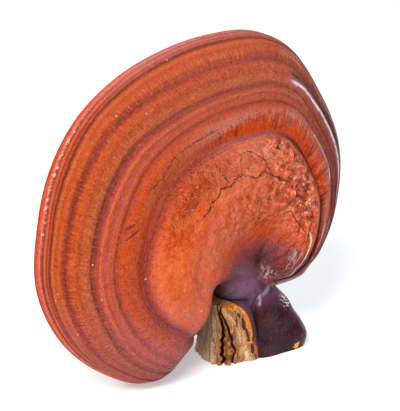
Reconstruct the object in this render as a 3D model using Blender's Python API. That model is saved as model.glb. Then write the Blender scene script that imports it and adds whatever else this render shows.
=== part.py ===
"""A reishi mushroom: a kidney-shaped lacquered cap, the short stem in its notch, and the stub of wood
that the foot of the stem grew around. The stem and the stub are sawn off flat, and the mushroom stands
on that cut and on the low left lobe of its cap, with the lacquered face of the cap turned to -Y.

Metres, +Z up. The origin is the middle of the stem's sawn foot."""

import bmesh
import bpy
import numpy as np

MM = 0.001
GAP = 0.3 * MM

# Cap, in millimetres and degrees. Its outline is measured from the middle of the funnel over the stem:
# the direction, counterclockwise from +X as seen from the front, and the reach of the edge that way.
FUNNEL = (1.0, -7.2, 34.0)
LEAN_BACK = 12.0
CAP_SEGMENTS = 88
OUTLINE = [
    (-75, 11.8), (-50, 14.2), (-30, 18.2), (-15, 23.6), (0, 28.5), (15, 38.7), (30, 53.3), (45, 69.8),
    (60, 83), (70, 92.8), (80, 97.2), (94, 97.9), (108, 98.8), (122, 100.8), (134, 102.2), (146, 101.8),
    (158, 99.9), (174, 97.3), (187, 89.4), (200, 77.6), (210, 67.4), (220, 50.6), (230, 34.2), (240, 26),
    (250, 19), (262, 13.2),
]
# How far out the groove around the old boss runs, as a share of the reach in each direction.
BOSS_EDGE = [
    (-60, 0.50), (-30, 0.52), (0, 0.55), (30, 0.58), (110, 0.58), (150, 0.59), (185, 0.60),
    (200, 0.58), (215, 0.56), (240, 0.54),
]
BOSS_SHARE = 0.58
# Height of the lacquered face over the plane of the cap, against the share of the reach.
FACE = [
    (0.00, 1.0), (0.10, 6.0), (0.25, 13.0), (0.42, 16.0), (0.52, 15.3), (0.56, 13.9), (0.585, 12.1),
    (0.62, 13.1), (0.66, 13.8), (0.72, 13.8), (0.82, 11.6), (0.90, 8.6), (0.96, 5.4), (1.00, 2.6),
]
PLAIN_RINGS = (0.08, 0.16, 0.25, 0.34, 0.42, 0.49, 0.53, 0.555, 0.58, 0.605, 0.635, 0.665, 0.70, 0.77, 0.85, 0.915)
# Growth grooves between the yearly zones: share of the reach, half width as a share, depth.
ZONE_GROOVES = [(0.735, 0.014, 0.6), (0.812, 0.014, 0.7), (0.880, 0.014, 0.9), (0.942, 0.010, 0.8), (0.970, 0.008, 0.6)]
# Rolled rim and pore side: share of the reach, inset from the edge, height over the plane of the cap.
RIM_AND_PORES = [
    (1.00, 1.6, 2.6), (1.00, 0.4, 0.6), (1.00, 0.0, -1.5), (1.00, 0.4, -3.7), (1.00, 1.6, -5.6),
    (0.96, 0.0, -8.5), (0.85, 0.0, -10.5), (0.70, 0.0, -11.4), (0.50, 0.0, -12.3), (0.30, 0.0, -13.0),
    (0.12, 0.0, -13.4),
]
PORE_CENTRE = -13.5
# The face falls to nothing where the reach is short, and it sinks in front of the stem.
FACE_FADE = (4.0, 34.0)
OPEN_LEFT, OPEN_RIGHT, OPEN_REACH = (172.0, 212.0), (-66.0, -40.0), (8.0, 32.0)
OPEN_WIDER, WIDER_FROM = 30.0, (190.0, 214.0)
# The groove below the boss's right edge and the lip above it: height, share, half width, direction, half span.
LEDGE_DEPTH, LEDGE_SHARE, LEDGE_WIDTH, LEDGE_DIRECTION, LEDGE_SPAN = 4.2, 0.605, 0.032, 8.0, 42.0
LIP_HEIGHT, LIP_SHARE, LIP_WIDTH, LIP_DIRECTION, LIP_SPAN = 0.9, 0.552, 0.020, -12.0, 32.0
GROOVE_FADE = (15.0, 60.0)
# The left lobe rolls back by this much. The roll starts in this direction, sooner near the funnel and
# later at the far edge, and ends behind the stem.
LOBE_ROLL, LOBE_ROLL_START, LOBE_ROLL_SPAN = 20.0, 194.0, 46.0
ROLL_SOONER, SOONER_REACH = 28.0, (20.0, 40.0)
ROLL_LATER, LATER_REACH = 11.0, (44.0, 66.0)
ROLL_REACH, ROLL_END = (2.0, 18.0), (228.0, 256.0)
# The edge of the notch lies this far behind the stem, between these directions on its left and right.
NOTCH_SETBACK, NOTCH_LEFT, NOTCH_RIGHT = 8.0, (235.0, 262.0), (-50.0, -10.0)
NOTCH_SHARE = (0.3, 1.0)
PORE_ROLL_SHARE = (0.05, 0.35)
RIM_REACH, RIM_LEAST = 60.0, 0.15
SETTLE_HEIGHT = 30.0

# Stem: height, middle x and y, then how far it reaches to the left, right, front and back, and how far
# its front right corner and the toe beside the crease stand out, all in millimetres.
STEM_SECTIONS = [
    (0.0, 0.0, 0.0, 16.5, 19.5, 17.4, 14.0, 6.5, 1.0),
    (5.0, 0.2, 0.0, 16.5, 19.4, 17.1, 14.0, 6.9, 1.5),
    (10.0, 0.5, 0.0, 16.0, 17.8, 15.4, 13.5, 5.3, 2.4),
    (15.0, 0.8, -0.6, 15.8, 15.6, 13.4, 13.2, 3.2, 3.0),
    (20.0, 1.2, -1.5, 15.2, 13.4, 11.6, 13.0, 1.6, 2.8),
    (24.0, 1.3, -2.2, 14.8, 11.6, 10.4, 13.0, 0.4, 1.8),
    (27.0, 1.0, -2.6, 14.5, 9.8, 9.6, 13.0, 0.0, 0.5),
    (33.0, 0.0, -3.0, 14.0, 9.2, 8.0, 13.0, 0.0, 0.0),
    (40.0, -4.0, -2.0, 13.0, 10.0, 6.0, 12.0, 0.0, 0.0),
    (48.0, -7.0, -2.0, 9.0, 8.0, 4.0, 8.0, 0.0, 0.0),
]
STEM_RINGS = (0, 3, 6, 10, 14, 18, 21, 24, 27, 30, 34, 38, 42, 46)
STEM_SEGMENTS = 48
STEM_SQUARENESS = 2.4
CORNER_DIRECTION, CORNER_SPREAD = -36.0, 22.0
# The crease between stem and toe as height and direction, how fast the toe rises beside it, and where
# the toe fades out on the right.
CREASE = [(0, -97), (8, -99.5), (15, -105), (21.5, -106.5), (24, -100), (27, -86), (30, -78)]
CREASE_DEPTH, CREASE_SPREAD, CREASE_FADE = 0.6, 5.0, (24.0, 28.0)
TOE_RISE, TOE_FADE = (-3.0, 15.0), (-25.0, 20.0)

# Wood stub: its outline at the cut as direction and reach from its own middle, then height, middle x
# and y, and size against that outline, going up.
WOOD_OUTLINE = [
    (-173, 11.6), (-155, 12.9), (-137, 14.4), (-123, 14.2), (-110, 13.1), (-90, 12.4), (-72, 14.4),
    (-58, 15), (-45, 14.2), (-33, 8.5), (0, 5.5), (60, 7), (100, 9.8), (128, 13), (150, 11.6), (170, 11),
]
WOOD_SECTIONS = [(0.0, -10.0, -4.0, 1.0), (13.0, -11.0, -6.0, 0.84), (21.0, -11.8, -6.4, 0.70), (24.5, -12.4, -6.4, 0.56)]
WOOD_RINGS = (0, 5, 10, 15, 20, 24.5)
WOOD_SEGMENTS = 64
WOOD_SLATS, WOOD_SLAT_DEPTH, WOOD_SLANT = 14, 1.1, 1.3
# The slats lie outside the stem, on the front left and at the back.
SLATS_FRONT, SLATS_BACK = (-72.0, -58.0), (110.0, 140.0)


def smooth(x, low, high):
    """0 up to low, 1 from high on, and an S-shaped rise between them."""
    t = np.clip((x - low) / (high - low), 0.0, 1.0)
    return t * t * (3.0 - 2.0 * t)


def bump(x, middle, spread):
    """A bell: 1 at the middle, falling off over the spread."""
    return np.exp(-(((x - middle) / spread) ** 2))


def curve(x, xs, ys):
    """A smooth curve through the points: cubic pieces with central-difference slopes."""
    xs, ys = np.asarray(xs, float), np.asarray(ys, float)
    slopes = np.gradient(ys, xs)
    i = np.clip(np.searchsorted(xs, x, side="right") - 1, 0, len(xs) - 2)
    width = xs[i + 1] - xs[i]
    t = np.clip((x - xs[i]) / width, 0.0, 1.0)
    rise = t * t * (3.0 - 2.0 * t)
    bend = slopes[i] * t * (1.0 - t) ** 2 - slopes[i + 1] * t * t * (1.0 - t)
    return ys[i] + (ys[i + 1] - ys[i]) * rise + width * bend


def around(angle, table):
    """The same for a table of (degrees, value) that closes on itself."""
    angles, values = np.array(table, float).T
    angle = (angle - angles[0]) % 360.0 + angles[0]
    angles = np.concatenate([angles[-2:] - 360.0, angles, angles[:2] + 360.0])
    values = np.concatenate([values[-2:], values, values[:2]])
    return curve(angle, angles, values)


def cap_ring(share, inset, height, angle):
    """One ring of the cap, in millimetres: the outline shrunk toward the funnel, lifted to its height."""
    reach = around(angle, OUTLINE)
    crowding = np.log(around(angle, BOSS_EDGE)) / np.log(BOSS_SHARE)
    r = reach * share**crowding - inset * np.clip(reach / RIM_REACH, RIM_LEAST, 1.0)
    # Directions counted from the notch, so that its right side comes first and its left side last.
    a = (angle + 70.0) % 360.0 - 70.0
    right = a < 100.0
    # The face sinks toward the notch, so that the stem shows in front of it.
    on_face = (height > 0.0) & (share < 1.0)
    on_pores = (height < 0.0) & (share < 1.0)
    beside_notch = smooth(a, *OPEN_LEFT) + np.where(right, 1.0 - smooth(a, *OPEN_RIGHT), 0.0)
    nearest, farthest = OPEN_REACH
    open_front = beside_notch * (1.0 - smooth(r, nearest, farthest + OPEN_WIDER * smooth(a, *WIDER_FROM)))
    lifted = height * smooth(reach, *FACE_FADE) * (1.0 - open_front * on_face)
    height = np.where(height > 0.0, lifted, height)
    # The left lobe rolls back around the stem, and the edge of the notch lies behind it.
    start = LOBE_ROLL_START + ROLL_LATER * smooth(r, *LATER_REACH) - ROLL_SOONER * (1.0 - smooth(r, *SOONER_REACH))
    rolled = smooth(a, start, start + LOBE_ROLL_SPAN) * (1.0 - smooth(a, *ROLL_END)) * smooth(r, *ROLL_REACH)
    notch = smooth(a, *NOTCH_LEFT) + np.where(right, 1.0 - smooth(a, *NOTCH_RIGHT), 0.0)
    curl = LOBE_ROLL * rolled + NOTCH_SETBACK * notch * smooth(share, *NOTCH_SHARE)
    height = height - np.where(on_pores, smooth(share, *PORE_ROLL_SHARE), 1.0) * curl
    across, lean = np.radians(angle), np.radians(LEAN_BACK)
    up = r * np.sin(across)
    x = FUNNEL[0] + r * np.cos(across)
    y = FUNNEL[1] + up * np.sin(lean) - height * np.cos(lean)
    z = FUNNEL[2] + up * np.cos(lean) + height * np.sin(lean)
    return np.stack([x, y, z], axis=-1)


def face_height(share, angle):
    """Height of the lacquered face: the boss with its lip, the groove around it, and the growth grooves."""
    height = curve(share, *np.array(FACE).T)
    a = (angle + 180.0) % 360.0 - 180.0
    height = height - LEDGE_DEPTH * bump(share, LEDGE_SHARE, LEDGE_WIDTH) * bump(a, LEDGE_DIRECTION, LEDGE_SPAN)
    height = height + LIP_HEIGHT * bump(share, LIP_SHARE, LIP_WIDTH) * bump(a, LIP_DIRECTION, LIP_SPAN)
    fade = smooth(around(angle, OUTLINE), *GROOVE_FADE)
    for place, half_width, depth in ZONE_GROOVES:
        height = height - fade * depth * np.clip(1.0 - np.abs(share - place) / half_width, 0.0, 1.0)
    return height


def cap_rings():
    """All rings of the cap from the middle of its face over the rim to the middle of its pore side."""
    angle = np.arange(CAP_SEGMENTS) * 360.0 / CAP_SEGMENTS
    shares = list(PLAIN_RINGS)
    for place, half_width, _ in ZONE_GROOVES:
        shares += [place - half_width, place, place + half_width]
    rings = [cap_ring(share, 0.0, face_height(share, angle), angle) for share in sorted(shares)]
    rings += [cap_ring(share, inset, height, angle) for share, inset, height in RIM_AND_PORES]
    front = cap_ring(1e-6, 0.0, FACE[0][1], angle[:1])[0]
    back = cap_ring(1e-6, 0.0, PORE_CENTRE, angle[:1])[0]
    rings = np.array(rings)
    # The lowest edge of the lobe is set down on the table, and the change fades out above it.
    sink = rings[..., 2].min()
    rings[..., 2] -= sink * (1.0 - smooth(rings[..., 2], 0.0, SETTLE_HEIGHT))
    return rings, front, back


def oval(angle, left, right, front, back, squareness):
    """Reach of a rounded section with its own half width on each side."""
    x, y = np.cos(np.radians(angle)), np.sin(np.radians(angle))
    wide = np.where(x > 0.0, right, left)
    deep = np.where(y > 0.0, back, front)
    return (np.abs(x / wide) ** squareness + np.abs(y / deep) ** squareness) ** (-1.0 / squareness)


def stem_rings():
    """Sections of the stem going up: a rounded box, its front right corner, and the toe beside the crease."""
    angle = np.arange(STEM_SEGMENTS) * 360.0 / STEM_SEGMENTS - 180.0
    heights, *columns = np.array(STEM_SECTIONS).T
    rings = []
    for z in STEM_RINGS:
        x, y, left, right, front, back, corner, toe = (curve(z, heights, column) for column in columns)
        r = oval(angle, left, right, front, back, STEM_SQUARENESS)
        r = r + max(corner, 0.0) * bump(angle, CORNER_DIRECTION, CORNER_SPREAD)
        from_crease = angle - np.interp(z, *np.array(CREASE, float).T)
        r = r + max(toe, 0.0) * smooth(from_crease, *TOE_RISE) * (1.0 - smooth(angle, *TOE_FADE))
        r = r - CREASE_DEPTH * (1.0 - smooth(z, *CREASE_FADE)) * bump(from_crease, 0.0, CREASE_SPREAD)
        rings.append(flat_ring(x, y, z, r, angle))
    return np.array(rings)


def wood_rings(grow=0.0):
    """Sections of the wood stub going up: a tapering block of slats with split gaps between them."""
    angle = np.arange(WOOD_SEGMENTS) * 360.0 / WOOD_SEGMENTS - 180.0
    heights, *columns = np.array(WOOD_SECTIONS).T
    outside = np.where(angle < 0.0, 1.0 - smooth(angle, *SLATS_FRONT), smooth(angle, *SLATS_BACK))
    rings = []
    for z in WOOD_RINGS:
        x, y, size = (curve(z, heights, column) for column in columns)
        r = around(angle, WOOD_OUTLINE) * size
        split = 0.5 - 0.5 * np.cos(np.radians(WOOD_SLATS * (angle + WOOD_SLANT * z)))
        r = r - WOOD_SLAT_DEPTH * outside * split**4
        rings.append(flat_ring(x, y, z, r + grow, angle))
    return np.array(rings)


def flat_ring(x, y, z, r, angle):
    """A level ring about (x, y) with its own reach in each direction."""
    across = np.radians(angle)
    return np.stack([x + r * np.cos(across), y + r * np.sin(across), np.full_like(r, z)], axis=-1)


def loft(name, rings, first=None, last=None):
    """A closed solid through unlike rings, ended by a flat face or by a fan to a point, as an object."""
    bm = bmesh.new()
    rows = [[bm.verts.new(point * MM) for point in ring] for ring in rings]
    for low, high in zip(rows, rows[1:]):
        for i in range(len(low)):
            bm.faces.new((low[i - 1], low[i], high[i], high[i - 1]))
    for row, tip in ((rows[0], first), (rows[-1], last)):
        if tip is None:
            bm.faces.new(row)
            continue
        point = bm.verts.new(tip * MM)
        for i in range(len(row)):
            bm.faces.new((row[i - 1], row[i], point))
    bmesh.ops.recalc_face_normals(bm, faces=bm.faces)
    # A part and its grown cutter get the same diagonals, so that one stays inside the other.
    sides = [face for face in bm.faces if len(face.verts) == 4]
    bmesh.ops.triangulate(bm, faces=sides, quad_method="FIXED")
    mesh = bpy.data.meshes.new(name)
    bm.to_mesh(mesh)
    bm.free()
    return bpy.data.objects.new(name, mesh)


def swell(obj, distance):
    """Move every vertex of a cutter outward, so that what it cuts keeps clear of the original."""
    bm = bmesh.new()
    bm.from_mesh(obj.data)
    bm.normal_update()
    for vert in bm.verts:
        vert.co += vert.normal * distance
    bm.to_mesh(obj.data)
    bm.free()


def finish(obj, collection, colour, roughness):
    """Give a part its material, smooth its rounded stretches and put it in the collection."""
    material = bpy.data.materials.new(obj.name)
    material.use_nodes = True
    shader = material.node_tree.nodes["Principled BSDF"]
    shader.inputs["Base Color"].default_value = (*colour, 1.0)
    shader.inputs["Roughness"].default_value = roughness
    shader.inputs["Metallic"].default_value = 0.0
    obj.data.materials.append(material)
    obj.data.shade_smooth()
    obj.data.set_sharp_from_angle(angle=np.radians(35.0))
    collection.objects.link(obj)


def cut(obj, cutter, collection):
    """Cut obj by a cutter that stays in the file, hidden from renders."""
    if cutter.name not in collection.objects:
        collection.objects.link(cutter)
    cutter.hide_render = True
    cutter.display_type = "WIRE"
    modifier = obj.modifiers.new(cutter.name, "BOOLEAN")
    modifier.operation = "DIFFERENCE"
    modifier.solver = "EXACT"
    modifier.object = cutter


def main():
    for obj in list(bpy.data.objects):
        bpy.data.objects.remove(obj, do_unlink=True)
    parts = bpy.data.collections.new("reishi_mushroom")
    cutters = bpy.data.collections.new("cutters")
    bpy.context.scene.collection.children.link(parts)
    bpy.context.scene.collection.children.link(cutters)

    rings, front, back = cap_rings()
    cap = loft("cap", rings, front, back)
    stem_cutter = loft("stem_cutter", stem_rings())
    swell(stem_cutter, GAP)

    wood = loft("wood_stub", wood_rings())
    grown = wood_rings(grow=1.5 * GAP / MM)
    above_and_below = np.array([0.0, 0.0, 1.5 * GAP / MM])
    wood_cutter = loft("wood_cutter", [grown[0] - above_and_below, *grown, grown[-1] + above_and_below])

    stem = loft("stem", stem_rings())
    cut(cap, stem_cutter, cutters)
    cut(stem, wood_cutter, cutters)
    cut(cap, wood_cutter, cutters)

    finish(cap, parts, (0.55, 0.10, 0.03), 0.32)
    finish(stem, parts, (0.09, 0.025, 0.04), 0.30)
    finish(wood, parts, (0.50, 0.33, 0.17), 0.80)


main()
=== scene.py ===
"""The looks of a reishi mushroom: the stub of split wood it grew on, its short stem, and its ringed,
lacquered cap. Metres, +Z up. The origin is the middle of the stem's sawn foot, the lacquered face is
turned to -Y and the pore side to +Y. Shapes are worked out in millimetres and scaled when they are made."""

import bpy
import numpy as np
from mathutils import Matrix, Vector


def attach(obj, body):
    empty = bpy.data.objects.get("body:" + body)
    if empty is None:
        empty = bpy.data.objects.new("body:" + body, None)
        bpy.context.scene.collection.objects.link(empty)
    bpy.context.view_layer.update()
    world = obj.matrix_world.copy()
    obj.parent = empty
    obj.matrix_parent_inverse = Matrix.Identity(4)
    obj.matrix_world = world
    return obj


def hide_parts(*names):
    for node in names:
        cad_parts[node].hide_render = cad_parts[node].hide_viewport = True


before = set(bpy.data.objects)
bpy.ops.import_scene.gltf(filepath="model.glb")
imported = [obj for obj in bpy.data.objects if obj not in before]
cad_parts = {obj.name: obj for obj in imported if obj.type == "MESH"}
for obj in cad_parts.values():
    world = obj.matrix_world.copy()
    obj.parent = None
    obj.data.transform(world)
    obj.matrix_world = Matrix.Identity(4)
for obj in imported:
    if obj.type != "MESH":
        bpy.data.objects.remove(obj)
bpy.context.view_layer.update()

# Stub of wood.
# A bit of the dead log that the foot of the stem grew around, sawn off with it: dry, split into slats
# along the grain, with deep gaps, and edged by the crust of the stem on its right.

MM = 0.001
WOOD_TOP = 24.5
WOOD_ROWS, WOOD_COLUMNS = 110, 360
# Reach at the foot, as (direction in degrees, millimetres).
WOOD_OUTLINE = [
    (-173, 11.6), (-155, 12.9), (-137, 14.4), (-123, 14.2), (-110, 13.1), (-90, 12.4), (-72, 14.4),
    (-58, 15.0), (-45, 14.2), (-33, 8.5), (0, 5.5), (60, 7.0), (100, 9.8), (128, 13.0), (150, 11.6),
    (170, 11.0),
]
# Height, middle x and y, and size against the foot.
WOOD_SECTIONS = [
    (0.0, -10.0, -4.0, 1.0), (13.0, -11.0, -6.0, 0.84), (21.0, -11.8, -6.4, 0.70), (24.5, -12.4, -6.4, 0.56),
]
# The rows on the sawn face, as shares of the reach.
SAWN_ROWS = (0.98, 0.6, 0.2)
# Splits between the slats: depth, half width in degrees, and the path as (height, direction).
WOOD_SPLITS = [
    (3.4, 3.0, [(0, -129), (4, -130), (9, -132), (13, -131), (17, -133), (20, -138), (23, -146),
                (24.5, -150)]),
    (3.0, 2.5, [(0, -112), (3, -109), (5.5, -103), (9, -112), (13.5, -117), (19.4, -126), (23, -136)]),
    (1.2, 2.4, [(0, -141), (4, -143), (9, -150), (14, -160), (19, -168), (23, -174)]),
    (1.4, 2.0, [(0, -156), (6, -160), (12, -170), (18, -180)]),
    (0.8, 1.6, [(6, -138), (12, -141), (18, -149), (23, -160)]),
    (0.9, 1.6, [(0, -122), (5, -122), (10, -124), (14, -127)]),
    (0.8, 1.3, [(0, -101), (2.5, -99), (5, -95), (7, -93)]),
    (0.8, 1.4, [(0, -88), (3, -85), (6, -80), (10, -79)]),
    (0.7, 1.4, [(11, -88), (15, -93), (19, -103), (23, -118)]),
    (1.2, 3.0, [(0, 118), (24.5, 126)]), (0.8, 3.0, [(0, 133), (24.5, 138)]),
    (1.3, 3.0, [(0, 150), (24.5, 153)]), (0.8, 3.0, [(0, 168), (24.5, 168)]),
]
SPLIT_ENDS = 3.0
SPLIT_WANDER, SPLIT_WAVES = 2.6, (3.6, 6)
# The slats show at the front left and at the back; between them the wood is inside the stem.
SLATS_FRONT, SLATS_BACK = (-72.0, -58.0), (110.0, 140.0)
# Torn fibres and the broken top: rise in millimetres, then wave length, count of waves and seed.
FIBRE_RISE, FIBRE_WAVES, FIBRE_ROUND = 0.35, (5.0, 9, 4), 26.0
BREAK_RISE, BREAK_WAVES, BREAK_ROUND, BREAK_HEIGHT = 0.8, (7.0, 5, 8), 10.0, 4.0
# The crust of the stem closes over the wood along this line of (height, direction), over so many degrees.
CRUST_EDGE = [
    (0, -59), (5, -60), (7.5, -68), (9.5, -72), (12, -68), (15, -69), (20, -70), (22.5, -73), (24.5, -80),
]
CRUST_RIM, CRUST_RIM_END = (-13.0, 0.0), (-30.0, -10.0)
CRUST_ON_TOP, TOP_HEIGHTS, TOP_DIRECTIONS = 0.75, (21.5, 24.0), (-150.0, -138.0)
# Patches of crust and a reddish spot: direction and spread in degrees, height and spread.
CRUST_PATCHES = [
    (-98.0, 3.6, 17.5, 2.4), (-83.0, 4.4, 16.5, 3.2), (-78.0, 4.0, 11.5, 3.6), (-72.0, 4.2, 5.5, 2.8),
    (-66.0, 2.4, 1.5, 1.6), (-88.0, 3.0, 20.5, 1.2),
]
EMBER_SPOT = (-63.0, 7.0, 4.5, 4.5)
PALE_SLAT = [(0, -76), (3, -83), (8, -91), (14.5, -95), (19, -109), (22, -124), (24.5, -136)]
PALE_SLAT_SPREAD = 8.0
LEFT_SLATS = (-152.0, -138.0)
ROTTEN_START, ROTTEN_END, ROTTEN_TOP = (-134.0, -129.0), (-112.0, -104.0), (15.0, 19.0)
SAWN_LEFT, SAWN_BACK = (-168.0, -160.0), (110.0, 120.0)
WOOD_CREASE = 50.0

WOOD_GRAIN = [
    (0.26, (106, 58, 30)), (0.38, (172, 112, 64)), (0.52, (208, 150, 100)), (0.70, (246, 200, 154)),
]
SAWN_WOOD = [(0.3, (214, 178, 146)), (0.7, (246, 224, 200))]
WOOD_TONES = {
    "weathered": (196, 112, 44), "dark_fibre": (84, 46, 24), "left_slats": (255, 226, 182),
    "pale_slat": (252, 206, 150), "golden": (214, 132, 58), "hair_crack": (74, 38, 24),
    "rotten": (112, 58, 22), "rotten_yellow": (238, 160, 58), "rim_yellow": (246, 178, 70),
    "rim_orange": (236, 116, 24), "rim_shadow": (120, 50, 22), "patch_edge": (250, 150, 40),
    "patch": (52, 24, 44), "crust_edge": (44, 18, 26), "crust_low": (56, 26, 40),
    "crust_high": (104, 62, 84), "split_edge": (206, 110, 36), "ember": (232, 78, 30),
    "ember_blue": (36, 44, 76), "gap": (20, 13, 20),
}


def smooth(x, low, high):
    """0 up to low, 1 from high on, and an S-shaped rise between them."""
    t = np.clip((x - low) / (high - low), 0.0, 1.0)
    return t * t * (3.0 - 2.0 * t)


def span(x, rise, fall):
    """1 between a rise and a fall, each a pair of places, and 0 beyond them."""
    return smooth(x, *rise) * (1.0 - smooth(x, *fall))


def bump(x, middle, spread):
    """A bell: 1 at the middle, falling off over the spread."""
    return np.exp(-(((x - middle) / spread) ** 2))


def spot(across, along, middle_across, spread_across, middle_along, spread_along):
    """A soft round patch: a bell across times a bell along."""
    return bump(across, middle_across, spread_across) * bump(along, middle_along, spread_along)


def curve(x, xs, ys):
    """A smooth curve through the points: cubic pieces with central-difference slopes."""
    xs, ys = np.asarray(xs, float), np.asarray(ys, float)
    slopes = np.gradient(ys, xs)
    i = np.clip(np.searchsorted(xs, x, side="right") - 1, 0, len(xs) - 2)
    width = xs[i + 1] - xs[i]
    t = np.clip((x - xs[i]) / width, 0.0, 1.0)
    rise = t * t * (3.0 - 2.0 * t)
    bend = slopes[i] * t * (1.0 - t) ** 2 - slopes[i + 1] * t * t * (1.0 - t)
    return ys[i] + (ys[i + 1] - ys[i]) * rise + width * bend


def columns_at(height, table):
    """Smooth curves through each further column of a table, against its first one."""
    places, *columns = np.array(table, float).T
    return [curve(height, places, column) for column in columns]


def straight(x, points):
    """A line of straight stretches through (x, value) points."""
    return np.interp(x, *np.array(points, float).T)


def around(angle, table):
    """A smooth curve through a table of (degrees, value) that closes on itself."""
    angles, values = np.array(table, float).T
    angle = (angle - angles[0]) % 360.0 + angles[0]
    angles = np.concatenate([angles[-2:] - 360.0, angles, angles[:2] + 360.0])
    values = np.concatenate([values[-2:], values, values[:2]])
    return curve(angle, angles, values)


def waves(x, y, z, length, count, seed):
    """A calm random relief from about -1 to 1: plane waves near one length, in seeded directions."""
    chance = np.random.default_rng(seed)
    total = np.zeros(np.broadcast_shapes(np.shape(x), np.shape(y), np.shape(z)))
    for _ in range(count):
        way = chance.normal(size=3)
        way *= 2.0 * np.pi / (length * chance.uniform(0.7, 1.4)) / np.linalg.norm(way)
        total += np.sin(way[0] * x + way[1] * y + way[2] * z + chance.uniform(0.0, 2.0 * np.pi))
    return total / np.sqrt(count) * 0.7


def corner_pairs(turns, ways):
    """The corners of faces as rows of (turn, way)."""
    return np.stack([np.stack(turns, axis=-1), np.stack(ways, axis=-1)], axis=-1).reshape(-1, 2)


def skin(name, rings, first, last, marks, paint):
    """A closed mesh object through rings of points, ended by a fan to a point on each side.

    rings is rows x columns x 3, in millimetres, and a row's direction times a column's direction points
    outward. marks are arrays of one value for each ring point, kept as attributes for the paint. The
    values of "along" and "round" make the UV map, which doesn't smear where the columns close."""
    rows, columns = rings.shape[:2]
    points = np.concatenate([rings.reshape(-1, 3), [first], [last]]) * MM
    index = np.arange(rows * columns).reshape(rows, columns)
    following = np.roll(index, -1, axis=1)
    quads = np.stack([index[:-1], index[1:], following[1:], following[:-1]], axis=-1).reshape(-1, 4)
    top = np.stack([np.full(columns, rows * columns), index[0], following[0]], axis=-1)
    end = np.stack([index[-1], np.full(columns, rows * columns + 1), following[-1]], axis=-1)
    mesh = bpy.data.meshes.new(name)
    mesh.from_pydata(points, [], top.tolist() + quads.tolist() + end.tolist())
    for mark, values in marks.items():
        if mark in ("along", "round"):
            continue
        ends = [values[0].mean(), values[-1].mean()]
        layer = mesh.attributes.new(mark, "FLOAT", "POINT")
        layer.data.foreach_set("value", np.concatenate([values.ravel(), ends]).astype(np.float32))
    if "along" in marks:
        along, turn = marks["along"], marks["round"]
        after = np.roll(turn, -1, axis=1) + np.where(np.arange(columns) == columns - 1, 1.0, 0.0)
        beside = np.roll(along, -1, axis=1)
        middle = (turn + after) / 2.0
        start, finish = 0.0 * turn[0], 0.0 * turn[0] + along.max()
        corners = np.concatenate([
            corner_pairs((middle[0], turn[0], after[0]), (start, along[0], beside[0])),
            corner_pairs((turn[:-1], turn[1:], after[1:], after[:-1]),
                         (along[:-1], along[1:], beside[1:], beside[:-1])),
            corner_pairs((turn[-1], middle[-1], after[-1]), (along[-1], finish, beside[-1])),
        ])
        mesh.uv_layers.new(name="growth").data.foreach_set("uv", corners.astype(np.float32).ravel())
    mesh.update()
    mesh.shade_smooth()
    mesh.materials.append(paint)
    piece = bpy.data.objects.new(name, mesh)
    bpy.context.scene.collection.objects.link(piece)
    return piece


class Socket:
    """A value inside a material. A sum written with it adds the Math nodes that work it out."""

    def __init__(self, tree, socket):
        self.tree, self.socket = tree, socket

    def math(self, operation, *others):
        """One Math node on this value and the others."""
        node = self.tree.nodes.new("ShaderNodeMath")
        node.operation = operation
        for place, value in zip(node.inputs, (self, *others)):
            plug(self.tree, place, value)
        return Socket(self.tree, node.outputs[0])

    def __add__(self, other):
        return self.math("ADD", other)

    def __sub__(self, other):
        return self.math("SUBTRACT", other)

    def __mul__(self, other):
        return self.math("MULTIPLY", other)

    def __truediv__(self, other):
        return self.math("DIVIDE", other)

    def __rsub__(self, other):
        return (self * -1.0).math("ADD", other)

    __radd__, __rmul__ = __add__, __mul__

    def clip(self):
        """Kept between 0 and 1."""
        return self.math("MINIMUM", 1.0).math("MAXIMUM", 0.0)

    def step(self, low, high):
        """0 up to low, 1 from high on, and an S-shaped rise between them."""
        t = ((self - low) / (high - low)).clip()
        return t * t * (3.0 - 2.0 * t)

    def fall(self, low, high):
        """1 up to low, 0 from high on, and an S-shaped fall between them."""
        return 1.0 - self.step(low, high)

    def bell(self, middle, spread):
        """1 at the middle and 0 from the spread on, smooth between them."""
        return (self - middle).math("ABSOLUTE").fall(0.0, spread)


def plug(tree, place, value):
    """Link a socket's value, or set a plain one."""
    if isinstance(value, Socket):
        tree.links.new(value.socket, place)
    else:
        place.default_value = value


# The studio light lies a little over full white, so a paint is that much darker than it looks.
PAINT_TO_LOOK = 0.90


def colour(red, green, blue):
    """A look, given as 0 to 255 on a screen, turned to the linear colour of the paint that gives it."""
    screen = np.array([red, green, blue]) / 255.0
    linear = np.where(screen <= 0.04045, screen / 12.92, ((screen + 0.055) / 1.055) ** 2.4)
    return (*(linear * PAINT_TO_LOOK).tolist(), 1.0)


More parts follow.
